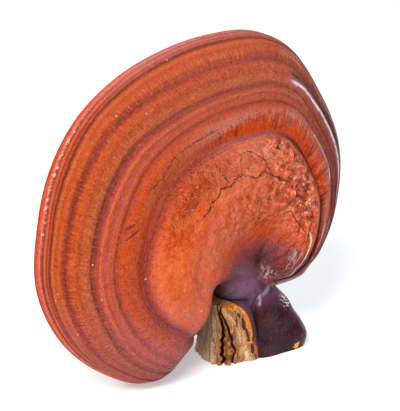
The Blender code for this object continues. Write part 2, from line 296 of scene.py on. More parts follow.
class Paint:
    """A material being mixed, node by node, from named tones. What is painted so far is its tint."""

    def __init__(self, name, tones=None):
        self.material = bpy.data.materials.new(name)
        self.material.use_nodes = True
        self.tree = self.material.node_tree
        self.shader = self.tree.nodes["Principled BSDF"]
        self.tones = {tone: colour(*screen) for tone, screen in (tones or {}).items()}
        self.tint = None

    def node(self, kind, settings=None, sockets=None, output=0):
        """Any node: its type, its settings, such as an operation or a ramp's stops, then its sockets."""
        node = self.tree.nodes.new(kind)
        for key, value in (settings or {}).items():
            if key == "stops":
                self.set_stops(node.color_ramp, value)
            else:
                setattr(node, key, value)
        for key, value in (sockets or {}).items():
            plug(self.tree, node.inputs[key], value)
        return Socket(self.tree, node.outputs[output])

    def set_stops(self, ramp, stops):
        """The colours of a ramp, from (place, colour) pairs."""
        while len(ramp.elements) < len(stops):
            ramp.elements.new(0.5)
        for element, (place, tint) in zip(ramp.elements, stops):
            element.position = place
            element.color = tint

    def place(self):
        """Object coordinates, in metres."""
        return self.node("ShaderNodeTexCoord", output="Object")

    def growth(self):
        """The piece's own map: x is the turn round it and y the way along it."""
        return self.node("ShaderNodeUVMap", {"uv_map": "growth"})

    def mark(self, name):
        """A value that the mesh carries."""
        return self.node("ShaderNodeAttribute", {"attribute_name": name}, output="Fac")

    def vector_math(self, operation, sockets):
        """One Vector Math node."""
        return self.node("ShaderNodeVectorMath", {"operation": operation}, sockets)

    def stretch(self, vector, x, y, z=1.0):
        """A vector with each side scaled."""
        return self.vector_math("MULTIPLY", {0: vector, 1: (x, y, z)})

    def noise(self, vector, scale, detail, rough, bend=0.0):
        """Soft random blotches from 0 to 1, about 1 / scale across."""
        sockets = {"Vector": vector, "Scale": scale, "Detail": detail, "Roughness": rough}
        return self.node("ShaderNodeTexNoise", None, {**sockets, "Distortion": bend})

    def grown(self, across, along, detail, rough, bend=0.0):
        """Blotches that follow the growth: so many round the piece, and so many along it."""
        return self.noise(self.stretch(self.growth(), across, along), 1.0, detail, rough, bend)

    def shaken(self, vector, scale, reach):
        """A vector with a small random push at each place, to make a pattern uneven."""
        chance = self.node("ShaderNodeTexNoise", None, {"Vector": vector, "Scale": scale}, "Color")
        push = self.vector_math("SUBTRACT", {0: chance, 1: (0.5, 0.5, 0.5)})
        push = self.vector_math("SCALE", {0: push, "Scale": 2.0 * reach})
        return self.vector_math("ADD", {0: vector, 1: push})

    def cells(self, vector, scale):
        """Distance to the nearest of scattered points."""
        return self.node("ShaderNodeTexVoronoi", {"feature": "F1"}, {"Vector": vector, "Scale": scale})

    def ramp(self, value, stops, low=0.0, high=1.0):
        """A screen colour for each value from low to high."""
        stops = [((place - low) / (high - low), colour(*screen)) for place, screen in stops]
        if (low, high) != (0.0, 1.0):
            value = (value - low) / (high - low)
        return self.node("ShaderNodeValToRGB", {"stops": stops}, {"Fac": value})

    def mix(self, below, above, share):
        """One colour laid over another, by a share from 0 to 1. A tone goes by its name."""
        below, above = (self.tones[tint] if isinstance(tint, str) else tint for tint in (below, above))
        return self.node("ShaderNodeMix", {"data_type": "RGBA"}, {0: share, 6: below, 7: above}, 2)

    def lay(self, tone, share):
        """A tone laid over the tint, by a share from 0 to 1."""
        self.tint = self.mix(self.tint, tone, share)

    def parts(self, vector):
        """The first two numbers of a vector."""
        first = self.node("ShaderNodeSeparateXYZ", None, {0: vector})
        return first, Socket(self.tree, first.socket.node.outputs[1])

    def drawn_line(self, value, points):
        """The height of a jagged line, drawn through points, at a value that runs from 0 to 1 along it."""
        line = self.node("ShaderNodeFloatCurve", None, {"Value": value})
        mapping = line.socket.node.mapping
        stops = mapping.curves[0].points
        start, end = points[0][0], points[-1][0]
        for x, y in points[1:-1]:
            stops.new((x - start) / (end - start), y)
        stops[0].location = (0.0, points[0][1])
        stops[len(stops) - 1].location = (1.0, points[-1][1])
        for stop in stops:
            stop.handle_type = "VECTOR"
        mapping.update()
        return line

    def relief(self, height, depth, under=None):
        """A bump of a given depth in metres, over another one."""
        sockets = {"Height": height, "Distance": depth, "Strength": 1.0}
        if under is not None:
            sockets["Normal"] = under
        return self.node("ShaderNodeBump", None, sockets)

    def finish(self, values):
        """Set or link the sockets of the shader, its colour from the tint, and hand over the material."""
        for key, value in {"Base Color": self.tint, **values}.items():
            plug(self.tree, self.shader.inputs[key], value)
        return self.material


def wood_paint():
    """Dry brown slats with pale grain, painted shade in the gaps, and orange and violet crust along the
    right edge.

    Lighter slats at the left, a rotten stretch between the two deep splits, and a pale slat beside it."""
    paint = Paint("split_wood", WOOD_TONES)
    place, growth = paint.place(), paint.growth()
    grain = paint.noise(paint.stretch(growth, 1.0, 0.05), 170.0, 4.0, 0.65)
    fibres = paint.noise(paint.stretch(growth, 1.0, 0.02), 600.0, 2.0, 0.6)
    cracked = paint.noise(paint.stretch(growth, 1.0, 0.13), 80.0, 5.0, 0.7)
    blotch, coarse = paint.noise(place, 300.0, 3.0, 0.6), paint.noise(place, 520.0, 3.0, 0.6)
    chips = paint.noise(place, 420.0, 4.0, 0.75)
    paint.tint = paint.ramp(grain, WOOD_GRAIN)
    paint.lay("weathered", blotch.step(0.48, 0.62) * 0.6)
    paint.lay("dark_fibre", (1.0 - fibres).step(0.51, 0.63) * 0.8)
    paint.lay("left_slats", paint.mark("left_side") * (0.7 + grain).clip())
    paint.lay("pale_slat", paint.mark("pale_slat") * (0.5 + grain).clip())
    paint.lay("golden", (cracked - 0.46).math("ABSOLUTE").step(0.02, 0.05) * blotch.step(0.48, 0.60) * 0.5)
    paint.lay("hair_crack", (cracked - 0.5).math("ABSOLUTE").fall(0.006, 0.026) * 0.85)
    rotten = paint.mark("rotten")
    paint.lay("rotten", rotten * coarse.step(0.40, 0.58))
    paint.lay("rotten_yellow", rotten * blotch.step(0.52, 0.62) * 0.8)
    paint.lay(paint.ramp(fibres, SAWN_WOOD), paint.mark("sawn_face"))
    rim = paint.mark("crust_rim") * 0.85 + (blotch - 0.5) * 1.8 + (chips - 0.5) * 1.8
    paint.lay("rim_yellow", rim.step(0.34, 0.48))
    paint.lay("rim_orange", rim.step(0.56, 0.70))
    paint.lay("rim_shadow", rim.step(0.30, 0.36) * rim.fall(0.38, 0.46) * 0.7)
    patch = paint.mark("crust_patch") + (chips - 0.5) * 1.1
    paint.lay("patch_edge", patch.step(0.34, 0.40) * 0.85)
    paint.lay("patch", patch.step(0.44, 0.50))
    over = paint.mark("crust_over") + (coarse - 0.5) * 1.1 + (chips - 0.5) * 0.9
    paint.lay("crust_edge", over.step(0.36, 0.44))
    paint.lay(paint.mix("crust_low", "crust_high", paint.mark("crust_height")), over.step(0.48, 0.62))
    split, ember = paint.mark("split"), paint.mark("ember")
    paint.lay("split_edge", split.step(0.05, 0.20) * blotch.step(0.36, 0.56) * 0.8)
    paint.lay("ember", ember * coarse.step(0.42, 0.56) * 0.9)
    paint.lay("ember_blue", ember * (1.0 - chips).step(0.54, 0.60) * 0.8)
    # Painted shade in the splits between the slats.
    paint.lay("gap", split.step(0.22, 0.50))
    bumpy = paint.relief(grain, 0.0009)
    bumpy = paint.relief(fibres, 0.0003, bumpy)
    bumpy = paint.relief(coarse * rotten, 0.0014, bumpy)
    rough = 0.70 - patch.step(0.44, 0.52) * 0.3
    return paint.finish({"Roughness": rough, "Normal": bumpy, "Specular IOR Level": 0.3})


def wood_stub():
    """The tapering stub: its outline shrunk going up, cut by splits that drift round it as they rise."""
    sawn_rows = len(SAWN_ROWS)
    height = np.linspace(WOOD_TOP, 0.0, WOOD_ROWS - sawn_rows)
    height = np.concatenate([height, np.zeros(sawn_rows)])[:, None]
    angle = (np.arange(WOOD_COLUMNS) * 360.0 / WOOD_COLUMNS - 180.0)[None, :]
    grid = np.zeros((WOOD_ROWS, WOOD_COLUMNS))
    middle_x, middle_y, size = columns_at(height, WOOD_SECTIONS)
    split = grid.copy()
    for number, (depth, half, path) in enumerate(WOOD_SPLITS):
        low, high = path[0][0], path[-1][0]
        drift = SPLIT_WANDER * waves(0.0, 0.0, height, *SPLIT_WAVES, 40 + number)
        ends = span(height, (low - SPLIT_ENDS, low), (high, high + SPLIT_ENDS))
        away = (angle - straight(height, path) - drift + 180.0) % 360.0 - 180.0
        split = np.maximum(split, depth * ends * bump(away, 0.0, half))
    across, front = np.radians(angle), angle < 0.0
    x, y = np.cos(across), np.sin(across)
    fibres = waves(x * FIBRE_ROUND, y * FIBRE_ROUND, height * 0.25, *FIBRE_WAVES)
    outside = np.where(front, 1.0 - smooth(angle, *SLATS_FRONT), smooth(angle, *SLATS_BACK))
    reach = around(angle, WOOD_OUTLINE) * size
    reach = reach - outside * (split * (0.35 + 0.65 * size) - FIBRE_RISE * fibres)
    reach[-sawn_rows:] *= np.array(SAWN_ROWS)[:, None]
    broken = waves(x * BREAK_ROUND, y * BREAK_ROUND, 0.0, *BREAK_WAVES)
    z = np.maximum(height + BREAK_RISE * smooth(height, WOOD_TOP - BREAK_HEIGHT, WOOD_TOP) * broken, 0.0)
    rings = np.stack([middle_x + reach * x, middle_y + reach * y, z], axis=-1)

    past_edge = angle - straight(height, CRUST_EDGE)
    crust_rim = smooth(past_edge, *CRUST_RIM) * (1.0 - smooth(angle, *CRUST_RIM_END))
    on_top = CRUST_ON_TOP * smooth(height, *TOP_HEIGHTS) * smooth(angle, *TOP_DIRECTIONS) * front
    sawn_face = np.where(front, 1.0 - smooth(angle, *SAWN_LEFT), smooth(angle, *SAWN_BACK)) + grid
    sawn_face[-sawn_rows:] = 1.0
    marks = {
        "along": height / WOOD_TOP,
        "round": (angle + 180.0) / 360.0,
        "split": np.clip(split / 3.0, 0.0, 1.0),
        "crust_rim": np.maximum(crust_rim, on_top),
        "crust_over": smooth(past_edge, -1.0, 3.0) * front,
        "crust_height": smooth(height, 4.0, 22.0),
        "crust_patch": np.max([spot(angle, height, *patch) for patch in CRUST_PATCHES], axis=0),
        "pale_slat": bump(angle, straight(height, PALE_SLAT), PALE_SLAT_SPREAD),
        "rotten": span(angle, ROTTEN_START, ROTTEN_END) * (1.0 - smooth(height, *ROTTEN_TOP)),
        "sawn_face": sawn_face,
        "ember": spot(angle, height, *EMBER_SPOT),
        "left_side": (1.0 - smooth(angle, *LEFT_SLATS)) * front,
    }
    marks = {mark: values + grid for mark, values in marks.items()}
    top = (middle_x[0, 0], middle_y[0, 0], WOOD_TOP)
    foot = (middle_x[-1, 0], middle_y[-1, 0], 0.0)
    return skin("wood_stub_split", rings, top, foot, marks, wood_paint())


wood = wood_stub()
wood.data.set_sharp_from_angle(angle=np.radians(WOOD_CREASE))
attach(wood, "root")
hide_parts("wood_stub")

# Stem.
# Short, thick and lacquered like the cap, which it holds by the notch. It swelled into a bulge at its
# front right corner, and its dark violet crust grew over the wood. It is sawn off flat at the foot.

STEM_TOP = 46.0
STEM_ROWS, STEM_COLUMNS, CUT_ROWS = 120, 300, 12
# Height, middle x and y, reach to the left, right, front and back, and how far the corner and the toe
# stand out.
STEM_SECTIONS = [
    (0.0, 0.0, 0.0, 16.5, 19.5, 17.4, 14.0, 6.5, 1.0),
    (5.0, 0.2, 0.0, 16.5, 19.4, 17.1, 14.0, 6.9, 1.5),
    (10.0, 0.5, 0.0, 16.0, 17.8, 15.4, 13.5, 5.3, 2.4),
    (15.0, 0.8, -0.6, 15.8, 15.6, 13.4, 13.2, 3.2, 3.0),
    (20.0, 1.2, -1.5, 15.2, 13.4, 11.6, 13.0, 1.6, 2.8),
    (24.0, 1.3, -2.2, 14.8, 11.6, 10.4, 13.0, 0.4, 1.8),
    (27.0, 1.0, -2.6, 14.5, 9.8, 9.6, 13.0, 0.0, 0.5),
    (33.0, 0.0, -3.0, 14.0, 9.2, 8.0, 13.0, 0.0, 0.0),
    (40.0, -4.0, -2.0, 13.0, 10.0, 6.0, 12.0, 0.0, 0.0),
    (48.0, -7.0, -2.0, 9.0, 8.0, 4.0, 8.0, 0.0, 0.0),
]
STEM_SQUARENESS = 2.4
CORNER_DIRECTION, CORNER_SPREAD = -36.0, 22.0
# Where the toe parts from the stem, as (height, direction), and where it fades out on the right.
CREASE = [(0, -97), (8, -99.5), (15, -105), (21.5, -106.5), (24, -100), (27, -86), (30, -78)]
CREASE_DEPTH, CREASE_BEHIND, CREASE_SPREAD, CREASE_FADE = 0.5, -1.0, 3.5, (24.0, 28.0)
TOE_RISE, TOE_FADE = (-3.0, 15.0), (-25.0, 20.0)
DENT_DEPTH, DENT_WAVES = 0.22, (11.0, 10, 21)
# Marks of the crust, and painted glints on the swelling: strength, direction and spread in degrees, height
# and spread.
STEM_SPOTS = {
    "olive": (1.0, -170.0, 14.0, 27.4, 2.4), "slate": (1.0, -147.0, 9.0, 27.0, 1.8),
    "nick": (1.0, -51.0, 3.6, 1.7, 1.7), "swelling": (1.0, -36.0, 18.0, 18.5, 4.5),
    "sparkle": (1.6, -44.0, 8.0, 20.4, 1.8),
}
NECK_HEIGHTS = (18.0, 30.0)
# A painted glint that climbs to the right by so many degrees a millimetre, and the painted shade of the gap
# over the wood.
CREASE_GLINT, GLINT_CLIMB, GLINT_FROM = (-60.0, 12.0, 26.8, 2.2), 11.2, 27.5
GAP_START, GAP_END, GAP_HEIGHT, GAP_SPREAD = (-185.0, -175.0), (-125.0, -112.0), 24.6, 1.1
THIN_CRUST, THIN_SPREAD, THIN_FOOT, THIN_TOP = -38.0, 3.0, (3.0, 6.0), (9.0, 13.0)
FOLD, FOLD_SPREAD, FOLD_RISE, FOLD_STRENGTH = -76.0, 16.0, (24.0, 28.0), 0.8
STEM_EDGE = 50.0

STEM_CRUST = [(0.30, (32, 8, 22)), (0.50, (46, 14, 27)), (0.70, (64, 21, 29))]
STEM_FLESH = [(0.3, (120, 74, 44)), (0.7, (176, 124, 78))]
OLIVE_CRUST = [(0.40, (62, 58, 48)), (0.60, (142, 132, 96))]
SLATE_CRUST = [(0.35, (50, 54, 66)), (0.65, (104, 112, 124))]
STEM_TONES = {
    "neck": (116, 74, 102), "cloud": (46, 20, 32), "fleck": (130, 72, 84), "swelling": (104, 30, 40),
    "sparkle": (240, 214, 220), "fold": (66, 26, 42), "bloom": (120, 128, 142), "gap": (22, 15, 24),
    "thin_crust": (140, 44, 32), "nick": (244, 160, 62),
}


def stem_skin(height, angle):
    """Points of the skin: a rounded box of four half widths, plus its corner and the toe by the crease."""
    middle_x, middle_y, left, right, front, back, corner, toe = columns_at(height, STEM_SECTIONS)
    across = np.radians(angle)
    x, y = np.cos(across), np.sin(across)
    wide = np.where(x > 0.0, right, left)
    deep = np.where(y > 0.0, back, front)
    power = STEM_SQUARENESS
    reach = (np.abs(x / wide) ** power + np.abs(y / deep) ** power) ** (-1.0 / power)
    reach = reach + np.maximum(corner, 0.0) * bump(angle, CORNER_DIRECTION, CORNER_SPREAD)
    from_crease = angle - straight(height, CREASE)
    crease = bump(from_crease, CREASE_BEHIND, CREASE_SPREAD) * (1.0 - smooth(height, *CREASE_FADE))
    toe_stands = smooth(from_crease, *TOE_RISE) * (1.0 - smooth(angle, *TOE_FADE))
    reach = reach + np.maximum(toe, 0.0) * toe_stands - CREASE_DEPTH * crease
    reach = reach + DENT_DEPTH * waves(reach * x, reach * y, height, *DENT_WAVES)
    return np.stack([middle_x + reach * x, middle_y + reach * y, height + 0.0 * angle], axis=-1)


def stem_paint():
    """Dark violet to maroon crust with a soft gloss, paler at the neck, partly as a painted sheen, olive and
    slaty over the wood.

    Painted glints on the swelling and at the top of the crease, painted shade in the gap over the wood,
    redder where the crust is thin, yellow where it is nicked, flesh on the cut."""
    paint = Paint("stem_crust", STEM_TONES)
    place = paint.place()
    wide, middle = paint.noise(place, 90.0, 3.0, 0.55), paint.noise(place, 320.0, 3.0, 0.6)
    fine, corky = paint.noise(place, 1000.0, 3.0, 0.6), paint.noise(place, 500.0, 4.0, 0.6)
    olive, slate = paint.mark("olive") * (0.5 + middle).clip(), paint.mark("slate") * (0.4 + middle).clip()
    nick = paint.mark("nick") + (fine - 0.5) * 1.6 + (middle - 0.5) * 1.2
    cut = paint.mark("cut")
    paint.tint = paint.ramp(wide, STEM_CRUST)
    # Paler at the neck, partly a painted bluish sheen.
    paint.lay("neck", paint.mark("neck") * 0.85)
    paint.lay("cloud", middle.step(0.52, 0.70) * 0.5)
    paint.lay("fleck", (fine * (0.6 + wide)).step(0.62, 0.85) * 0.35)
    paint.lay("swelling", paint.mark("swelling") * wide.step(0.30, 0.60) * 0.8)
    # Painted glints on the swelling.
    paint.lay("sparkle", paint.mark("sparkle") * fine.step(0.51, 0.56))
    paint.lay("fold", paint.mark("fold"))
    paint.lay(paint.ramp(fine, OLIVE_CRUST), olive)
    paint.lay(paint.ramp(fine, SLATE_CRUST), slate)
    # A painted grey-blue glint at the top of the crease.
    paint.lay("bloom", (paint.mark("bloom") * (0.4 + middle)).step(0.25, 0.8) * 0.8)
    # Painted shade in the gap over the wood.
    paint.lay("gap", paint.mark("gap"))
    paint.lay("thin_crust", paint.mark("thin_crust") * middle.step(0.36, 0.52))
    paint.lay("nick", nick.step(0.48, 0.60))
    paint.lay(paint.ramp(corky, STEM_FLESH), cut)
    bumpy = paint.relief(wide, 0.0014)
    bumpy = paint.relief(middle, 0.0005, bumpy)
    bumpy = paint.relief(fine, 0.00014, bumpy)
    return paint.finish({
        "Roughness": 0.32 + (fine - 0.5) * 0.2 + cut * 0.4 + olive * 0.3, "Normal": bumpy,
        "Coat Weight": 0.16 - cut * 0.16, "Coat Roughness": 0.12, "Specular IOR Level": 0.12,
    })


def stem():
    """The stem's skin from its upper end down to the cut, and over the cut to its middle."""
    height = np.linspace(STEM_TOP, 0.0, STEM_ROWS - CUT_ROWS)
    height = np.concatenate([height, np.zeros(CUT_ROWS)])[:, None]
    angle = (np.arange(STEM_COLUMNS) * 360.0 / STEM_COLUMNS - 180.0)[None, :]
    rings = stem_skin(height, angle)
    middle = rings[-1].mean(axis=0)
    inward = np.linspace(0.99, 0.06, CUT_ROWS)[:, None, None]
    rings[-CUT_ROWS:] = middle + (rings[-CUT_ROWS:] - middle) * inward
    cut = np.zeros(rings.shape[:2])
    cut[-CUT_ROWS:] = 1.0
    z = rings[..., 2]
    marks = {
        mark: np.minimum(strength * spot(angle, z, *place), 1.0)
        for mark, (strength, *place) in STEM_SPOTS.items()
    }
    marks["neck"] = smooth(z, *NECK_HEIGHTS)
    marks["fold"] = FOLD_STRENGTH * bump(angle, FOLD, FOLD_SPREAD) * smooth(z, *FOLD_RISE)
    marks["bloom"] = spot(angle - GLINT_CLIMB * (z - GLINT_FROM), z, *CREASE_GLINT)
    marks["gap"] = span(angle, GAP_START, GAP_END) * bump(z, GAP_HEIGHT, GAP_SPREAD)
    marks["thin_crust"] = bump(angle, THIN_CRUST, THIN_SPREAD) * span(z, THIN_FOOT, THIN_TOP)
    marks["cut"] = cut
    return skin("stem_crusted", rings, rings[0].mean(axis=0), middle, marks, stem_paint())


foot = stem()
foot.data.set_sharp_from_angle(angle=np.radians(STEM_EDGE))
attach(foot, "root")
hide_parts("stem")

# Cap.
# A kidney-shaped bracket of corky flesh under a lacquer-like crust. The old boss in the middle grew first,
# then a new zone along the edge each season, so the rings follow the outline. Fine pores cover its back.

# The cap lies in a plane that leans back. A point in it has a direction from the funnel, in degrees from
# +X by way of +Z, and a share of the reach to the outline in that direction.
FUNNEL = (1.0, -7.2, 34.0)
LEAN_BACK = 12.0
OUTLINE = [
    (-75, 11.8), (-50, 14.2), (-30, 18.2), (-15, 23.6), (0, 28.5), (15, 38.7), (30, 53.3), (45, 69.8),
    (60, 83.0), (70, 92.8), (80, 97.2), (94, 97.9), (108, 98.8), (122, 100.8), (134, 102.2), (146, 101.8),
    (158, 99.9), (174, 97.3), (187, 89.4), (200, 77.6), (210, 67.4), (220, 50.6), (230, 34.2), (240, 26),
    (250, 19), (262, 13.2),
]
# The share where the boss ends in each direction; all shares are crowded so that it becomes BOSS_SHARE.
BOSS_EDGE = [
    (-60, 0.50), (-30, 0.52), (0, 0.55), (30, 0.58), (110, 0.58), (150, 0.59), (185, 0.60),
    (200, 0.58), (215, 0.56), (240, 0.54),
]
BOSS_SHARE = 0.58
# Height of the lacquered face over the plane of the cap, against the share of the reach.
FACE = [
    (0.00, 1.0), (0.10, 6.0), (0.25, 13.0), (0.42, 16.0), (0.52, 15.3), (0.56, 13.9), (0.585, 12.1),
    (0.62, 13.1), (0.66, 13.8), (0.72, 13.8), (0.82, 11.6), (0.90, 8.6), (0.96, 5.4), (1.00, 2.6),
]
FACE_FADE = (4.0, 34.0)
# The face is open beside the notch: it drops to the plane there, over these directions and reaches.
OPEN_LEFT, OPEN_RIGHT, OPEN_REACH = (172.0, 212.0), (-66.0, -40.0), (8.0, 32.0)
OPEN_WIDER, WIDER_FROM = 30.0, (190.0, 214.0)
# The step down from the boss at the right and the lip over it: height, direction and share with spreads.
LEDGE_DEPTH, LEDGE = 4.2, (8.0, 42.0, 0.605, 0.032)
LIP_HEIGHT, LIP = 0.9, (-12.0, 32.0, 0.552, 0.020)
# Growth grooves: place as a share of the reach, half width as a share, depth in millimetres.
GROOVES = [
    (0.355, 0.016, 0.30), (0.722, 0.012, 0.70), (0.768, 0.009, 0.30), (0.800, 0.008, 0.30),
    (0.817, 0.010, 0.85), (0.868, 0.008, 0.25), (0.912, 0.009, 0.80), (0.926, 0.005, 0.30),
    (0.952, 0.006, 0.30), (0.970, 0.008, 0.90), (0.991, 0.006, 0.50),
]
GROOVE_FADE = (15.0, 60.0)
# How far the zones lie nearer the edge at the top and farther from it at the low lobe, as a share, with the
# directions and the shares that this holds for.
TOP_PUSH, TOP_END, TOP_SHARES = 0.040, (105.0, 155.0), ((0.66, 0.78), (0.86, 0.99))
LOBE_PULL, LOBE_FROM, LOBE_SHARES = 0.066, (180.0, 203.0), ((0.60, 0.85), (0.90, 1.0))
# How the zones wander round the cap: reach as a share, waves to a turn and phase, between these shares.
ZONE_WANDER = [(0.0035, 3.0, 1.0), (0.0025, 7.0, 2.5), (0.0016, 13.0, 0.0)]
WANDER_SHARES = ((0.3, 0.6), (0.93, 0.99))
# Low unevenness: rise in millimetres, then wave length, count of waves and seed.
UNEVEN_BOSS = ((0.10, 0.25), (0.50, 0.56))
SWELL_RISE, SWELL_WAVES, DIMPLE_RISE, DIMPLE_WAVES = 0.35, (14.0, 12, 31), 0.16, (4.5, 18, 34)
RIDGE_RISE, RIDGE_WAVES, RIDGED = 0.45, (9.0, 14, 32), (80.0, 50.0, 0.32, 0.10)
ZONE_RISE, ZONE_WAVES, ZONE_FROM = 0.22, (24.0, 10, 33), (0.6, 0.7)
# Rolled rim and pore side: share of the reach, inset from the edge, height over the plane of the cap.
RIM_AND_PORES = [
    (1.00, 1.6, 2.6), (1.00, 0.4, 0.6), (1.00, 0.0, -1.5), (1.00, 0.4, -3.7), (1.00, 1.6, -5.6),
    (0.96, 0.0, -8.5), (0.85, 0.0, -10.5), (0.70, 0.0, -11.4), (0.50, 0.0, -12.3), (0.30, 0.0, -13.0),
    (0.03, 0.0, -13.5),
]
RIM_REACH, RIM_LEAST = 60.0, 0.15
RIM_GROOVES, RIM_GROOVE_DEPTH, RIM_GROOVE_WIDTH = (0.75, 1.6, 2.5), 0.35, 0.22
RIM_GROOVE_SWAY, RIM_GROOVE_TURNS = 0.1, 5.0
# The low lobe rolls forward, sooner near the funnel and later far from it; the notch is set back.
LOBE_ROLL, LOBE_ROLL_START, LOBE_ROLL_SPAN = 20.0, 194.0, 46.0
ROLL_SOONER, SOONER_REACH = 28.0, (20.0, 40.0)
ROLL_LATER, LATER_REACH = 11.0, (44.0, 66.0)
ROLL_REACH, ROLL_END = (2.0, 18.0), (228.0, 256.0)
NOTCH_SETBACK, NOTCH_LEFT, NOTCH_RIGHT = 8.0, (235.0, 262.0), (-50.0, -10.0)
NOTCH_SHARE = (0.3, 1.0)
PORE_ROLL_SHARE = (0.05, 0.35)
SETTLE_HEIGHT = 30.0
# Rows over the face, and over the rim to the pore side: from, to and how many. The first two stretches of
# the rim are its edge. Columns stand closer where the reach is long, and evenness holds that back.
FACE_ROWS = [(0.012, 0.30, 20), (0.307, 0.70, 58), (0.705, 0.972, 56)]
RIM_ROWS = [(0.0, 4.0, 17), (4.2, 6.0, 10), (6.3, 10.0, 20)]
EDGE_ROWS = RIM_ROWS[0][2] + RIM_ROWS[1][2]
CAP_COLUMNS, COLUMN_EVENNESS = 520, 30.0
RIM_STEP = 0.02
# The face meets the stem in a hollow and ends under its skin. The pore side covers the stem's back.
BLEND = 5.0
UNDER_STEM, UNDER_FROM = 0.55, (2.5, 6.5)
COVER, COVER_BESIDE, COVER_FROM = 0.8, (-3.0, 0.0, 3.0), (6.2, 7.4)
PROBE_UP, PROBE_ACROSS, PROBE_HALF, PROBE_TURNS = 0.5, 0.25, 40.0, 241
FAR_OFF, STEM_FADE = 60.0, 4.0


def cap_point(share, inset, height, angle, on_face, on_pores):
    """Points of the cap: the outline shrunk toward the funnel, lifted, curled and leant back."""
    reach = around(angle, OUTLINE)
    crowding = np.log(around(angle, BOSS_EDGE)) / np.log(BOSS_SHARE)
    r = reach * share**crowding - inset * np.clip(reach / RIM_REACH, RIM_LEAST, 1.0)
    a = (angle + 70.0) % 360.0 - 70.0
    right = a < 100.0
    open_sides = smooth(a, *OPEN_LEFT) + np.where(right, 1.0 - smooth(a, *OPEN_RIGHT), 0.0)
    open_to = OPEN_REACH[1] + OPEN_WIDER * smooth(a, *WIDER_FROM)
    opened = on_face * open_sides * (1.0 - smooth(r, OPEN_REACH[0], open_to))
    height = np.where(height > 0.0, height * smooth(reach, *FACE_FADE) * (1.0 - opened), height)
    later, sooner = ROLL_LATER * smooth(r, *LATER_REACH), ROLL_SOONER * (1.0 - smooth(r, *SOONER_REACH))
    start = LOBE_ROLL_START + later - sooner
    rolled = span(a, (start, start + LOBE_ROLL_SPAN), ROLL_END) * smooth(r, *ROLL_REACH)
    notch = smooth(a, *NOTCH_LEFT) + np.where(right, 1.0 - smooth(a, *NOTCH_RIGHT), 0.0)
    curl = LOBE_ROLL * rolled + NOTCH_SETBACK * notch * smooth(share, *NOTCH_SHARE)
    height = height - np.where(on_pores, smooth(share, *PORE_ROLL_SHARE), 1.0) * curl
    across, lean = np.radians(angle), np.radians(LEAN_BACK)
    up = r * np.sin(across)
    x = FUNNEL[0] + r * np.cos(across)
    y = FUNNEL[1] + up * np.sin(lean) - height * np.cos(lean)
    z = FUNNEL[2] + up * np.cos(lean) + height * np.sin(lean)
    return np.stack([x, y, z], axis=-1)


def growth_place(share, angle):
    """Where a point lies among the growth zones: its share, pushed, pulled and wandering."""
    a = (angle + 90.0) % 360.0 - 90.0
    toward_top = TOP_PUSH * (1.0 - smooth(a, *TOP_END)) * span(share, *TOP_SHARES)
    toward_lobe = LOBE_PULL * smooth(a, *LOBE_FROM) * span(share, *LOBE_SHARES)
    turn = np.radians(a)
    wander = sum(reach * np.sin(times * turn + phase) for reach, times, phase in ZONE_WANDER)
    return share + toward_top - toward_lobe + wander * span(share, *WANDER_SHARES)


def face_relief(share, angle):
    """Height of the lacquered face: the boss, its ledge and lip, the growth grooves, and low unevenness."""
    a = (angle + 180.0) % 360.0 - 180.0
    reach = around(angle, OUTLINE)
    x, y = reach * share * np.cos(np.radians(angle)), reach * share * np.sin(np.radians(angle))
    height = curve(share, *np.array(FACE).T)
    height = height - LEDGE_DEPTH * spot(a, share, *LEDGE) + LIP_HEIGHT * spot(a, share, *LIP)
    zone = growth_place(share, angle)
    for place, half_width, depth in GROOVES:
        height = height - smooth(reach, *GROOVE_FADE) * depth * bump(zone, place, half_width)
    boss = span(share, *UNEVEN_BOSS)
    uneven = SWELL_RISE * waves(x, y, 0.0, *SWELL_WAVES) + DIMPLE_RISE * waves(x, y, 0.0, *DIMPLE_WAVES)
    ridges = RIDGE_RISE * (1.0 - np.abs(waves(x, y, 0.0, *RIDGE_WAVES))) * spot(a, share, *RIDGED)
    wide = ZONE_RISE * waves(x, y, 0.0, *ZONE_WAVES) * smooth(share, *ZONE_FROM)
    return height + boss * (uneven + ridges) + (1.0 - boss) * wide


def skin_side(x, z, side):
    """How far the stem's skin reaches toward -Y (side -1) or +Y (side 1) over each (x, z).

    A table of the skin by height and x, read between its places. Beside and over the stem it is far off."""
    heights = np.arange(0.0, STEM_TOP + PROBE_UP, PROBE_UP)[:, None]
    points = stem_skin(heights, np.linspace(side * 180.0, 0.0, PROBE_TURNS)[None, :])
    places = np.arange(-PROBE_HALF, PROBE_HALF + PROBE_ACROSS, PROBE_ACROSS)
    table = np.array([
        np.interp(places, row[:, 0], side * row[:, 1], left=-FAR_OFF, right=-FAR_OFF) for row in points
    ])
    row = np.clip(z / PROBE_UP, 0.0, len(table) - 1.01)
    column = np.clip((x + PROBE_HALF) / PROBE_ACROSS, 0.0, len(places) - 1.01)
    i, j = row.astype(int), column.astype(int)
    s, t = row - i, column - j
    low = table[i, j] * (1.0 - t) + table[i, j + 1] * t
    high = table[i + 1, j] * (1.0 - t) + table[i + 1, j + 1] * t
    fade_from = STEM_TOP - STEM_FADE if side < 0 else STEM_TOP
    return low * (1.0 - s) + high * s - FAR_OFF * smooth(z, fade_from, STEM_TOP + STEM_FADE)


def fillet(mine, stems):
    """The outer one of two skins, with a rounded hollow where they meet."""
    near = np.clip(BLEND - np.abs(mine - stems), 0.0, None) / BLEND
    return np.maximum(mine, stems) + near**2 * BLEND / 4.0


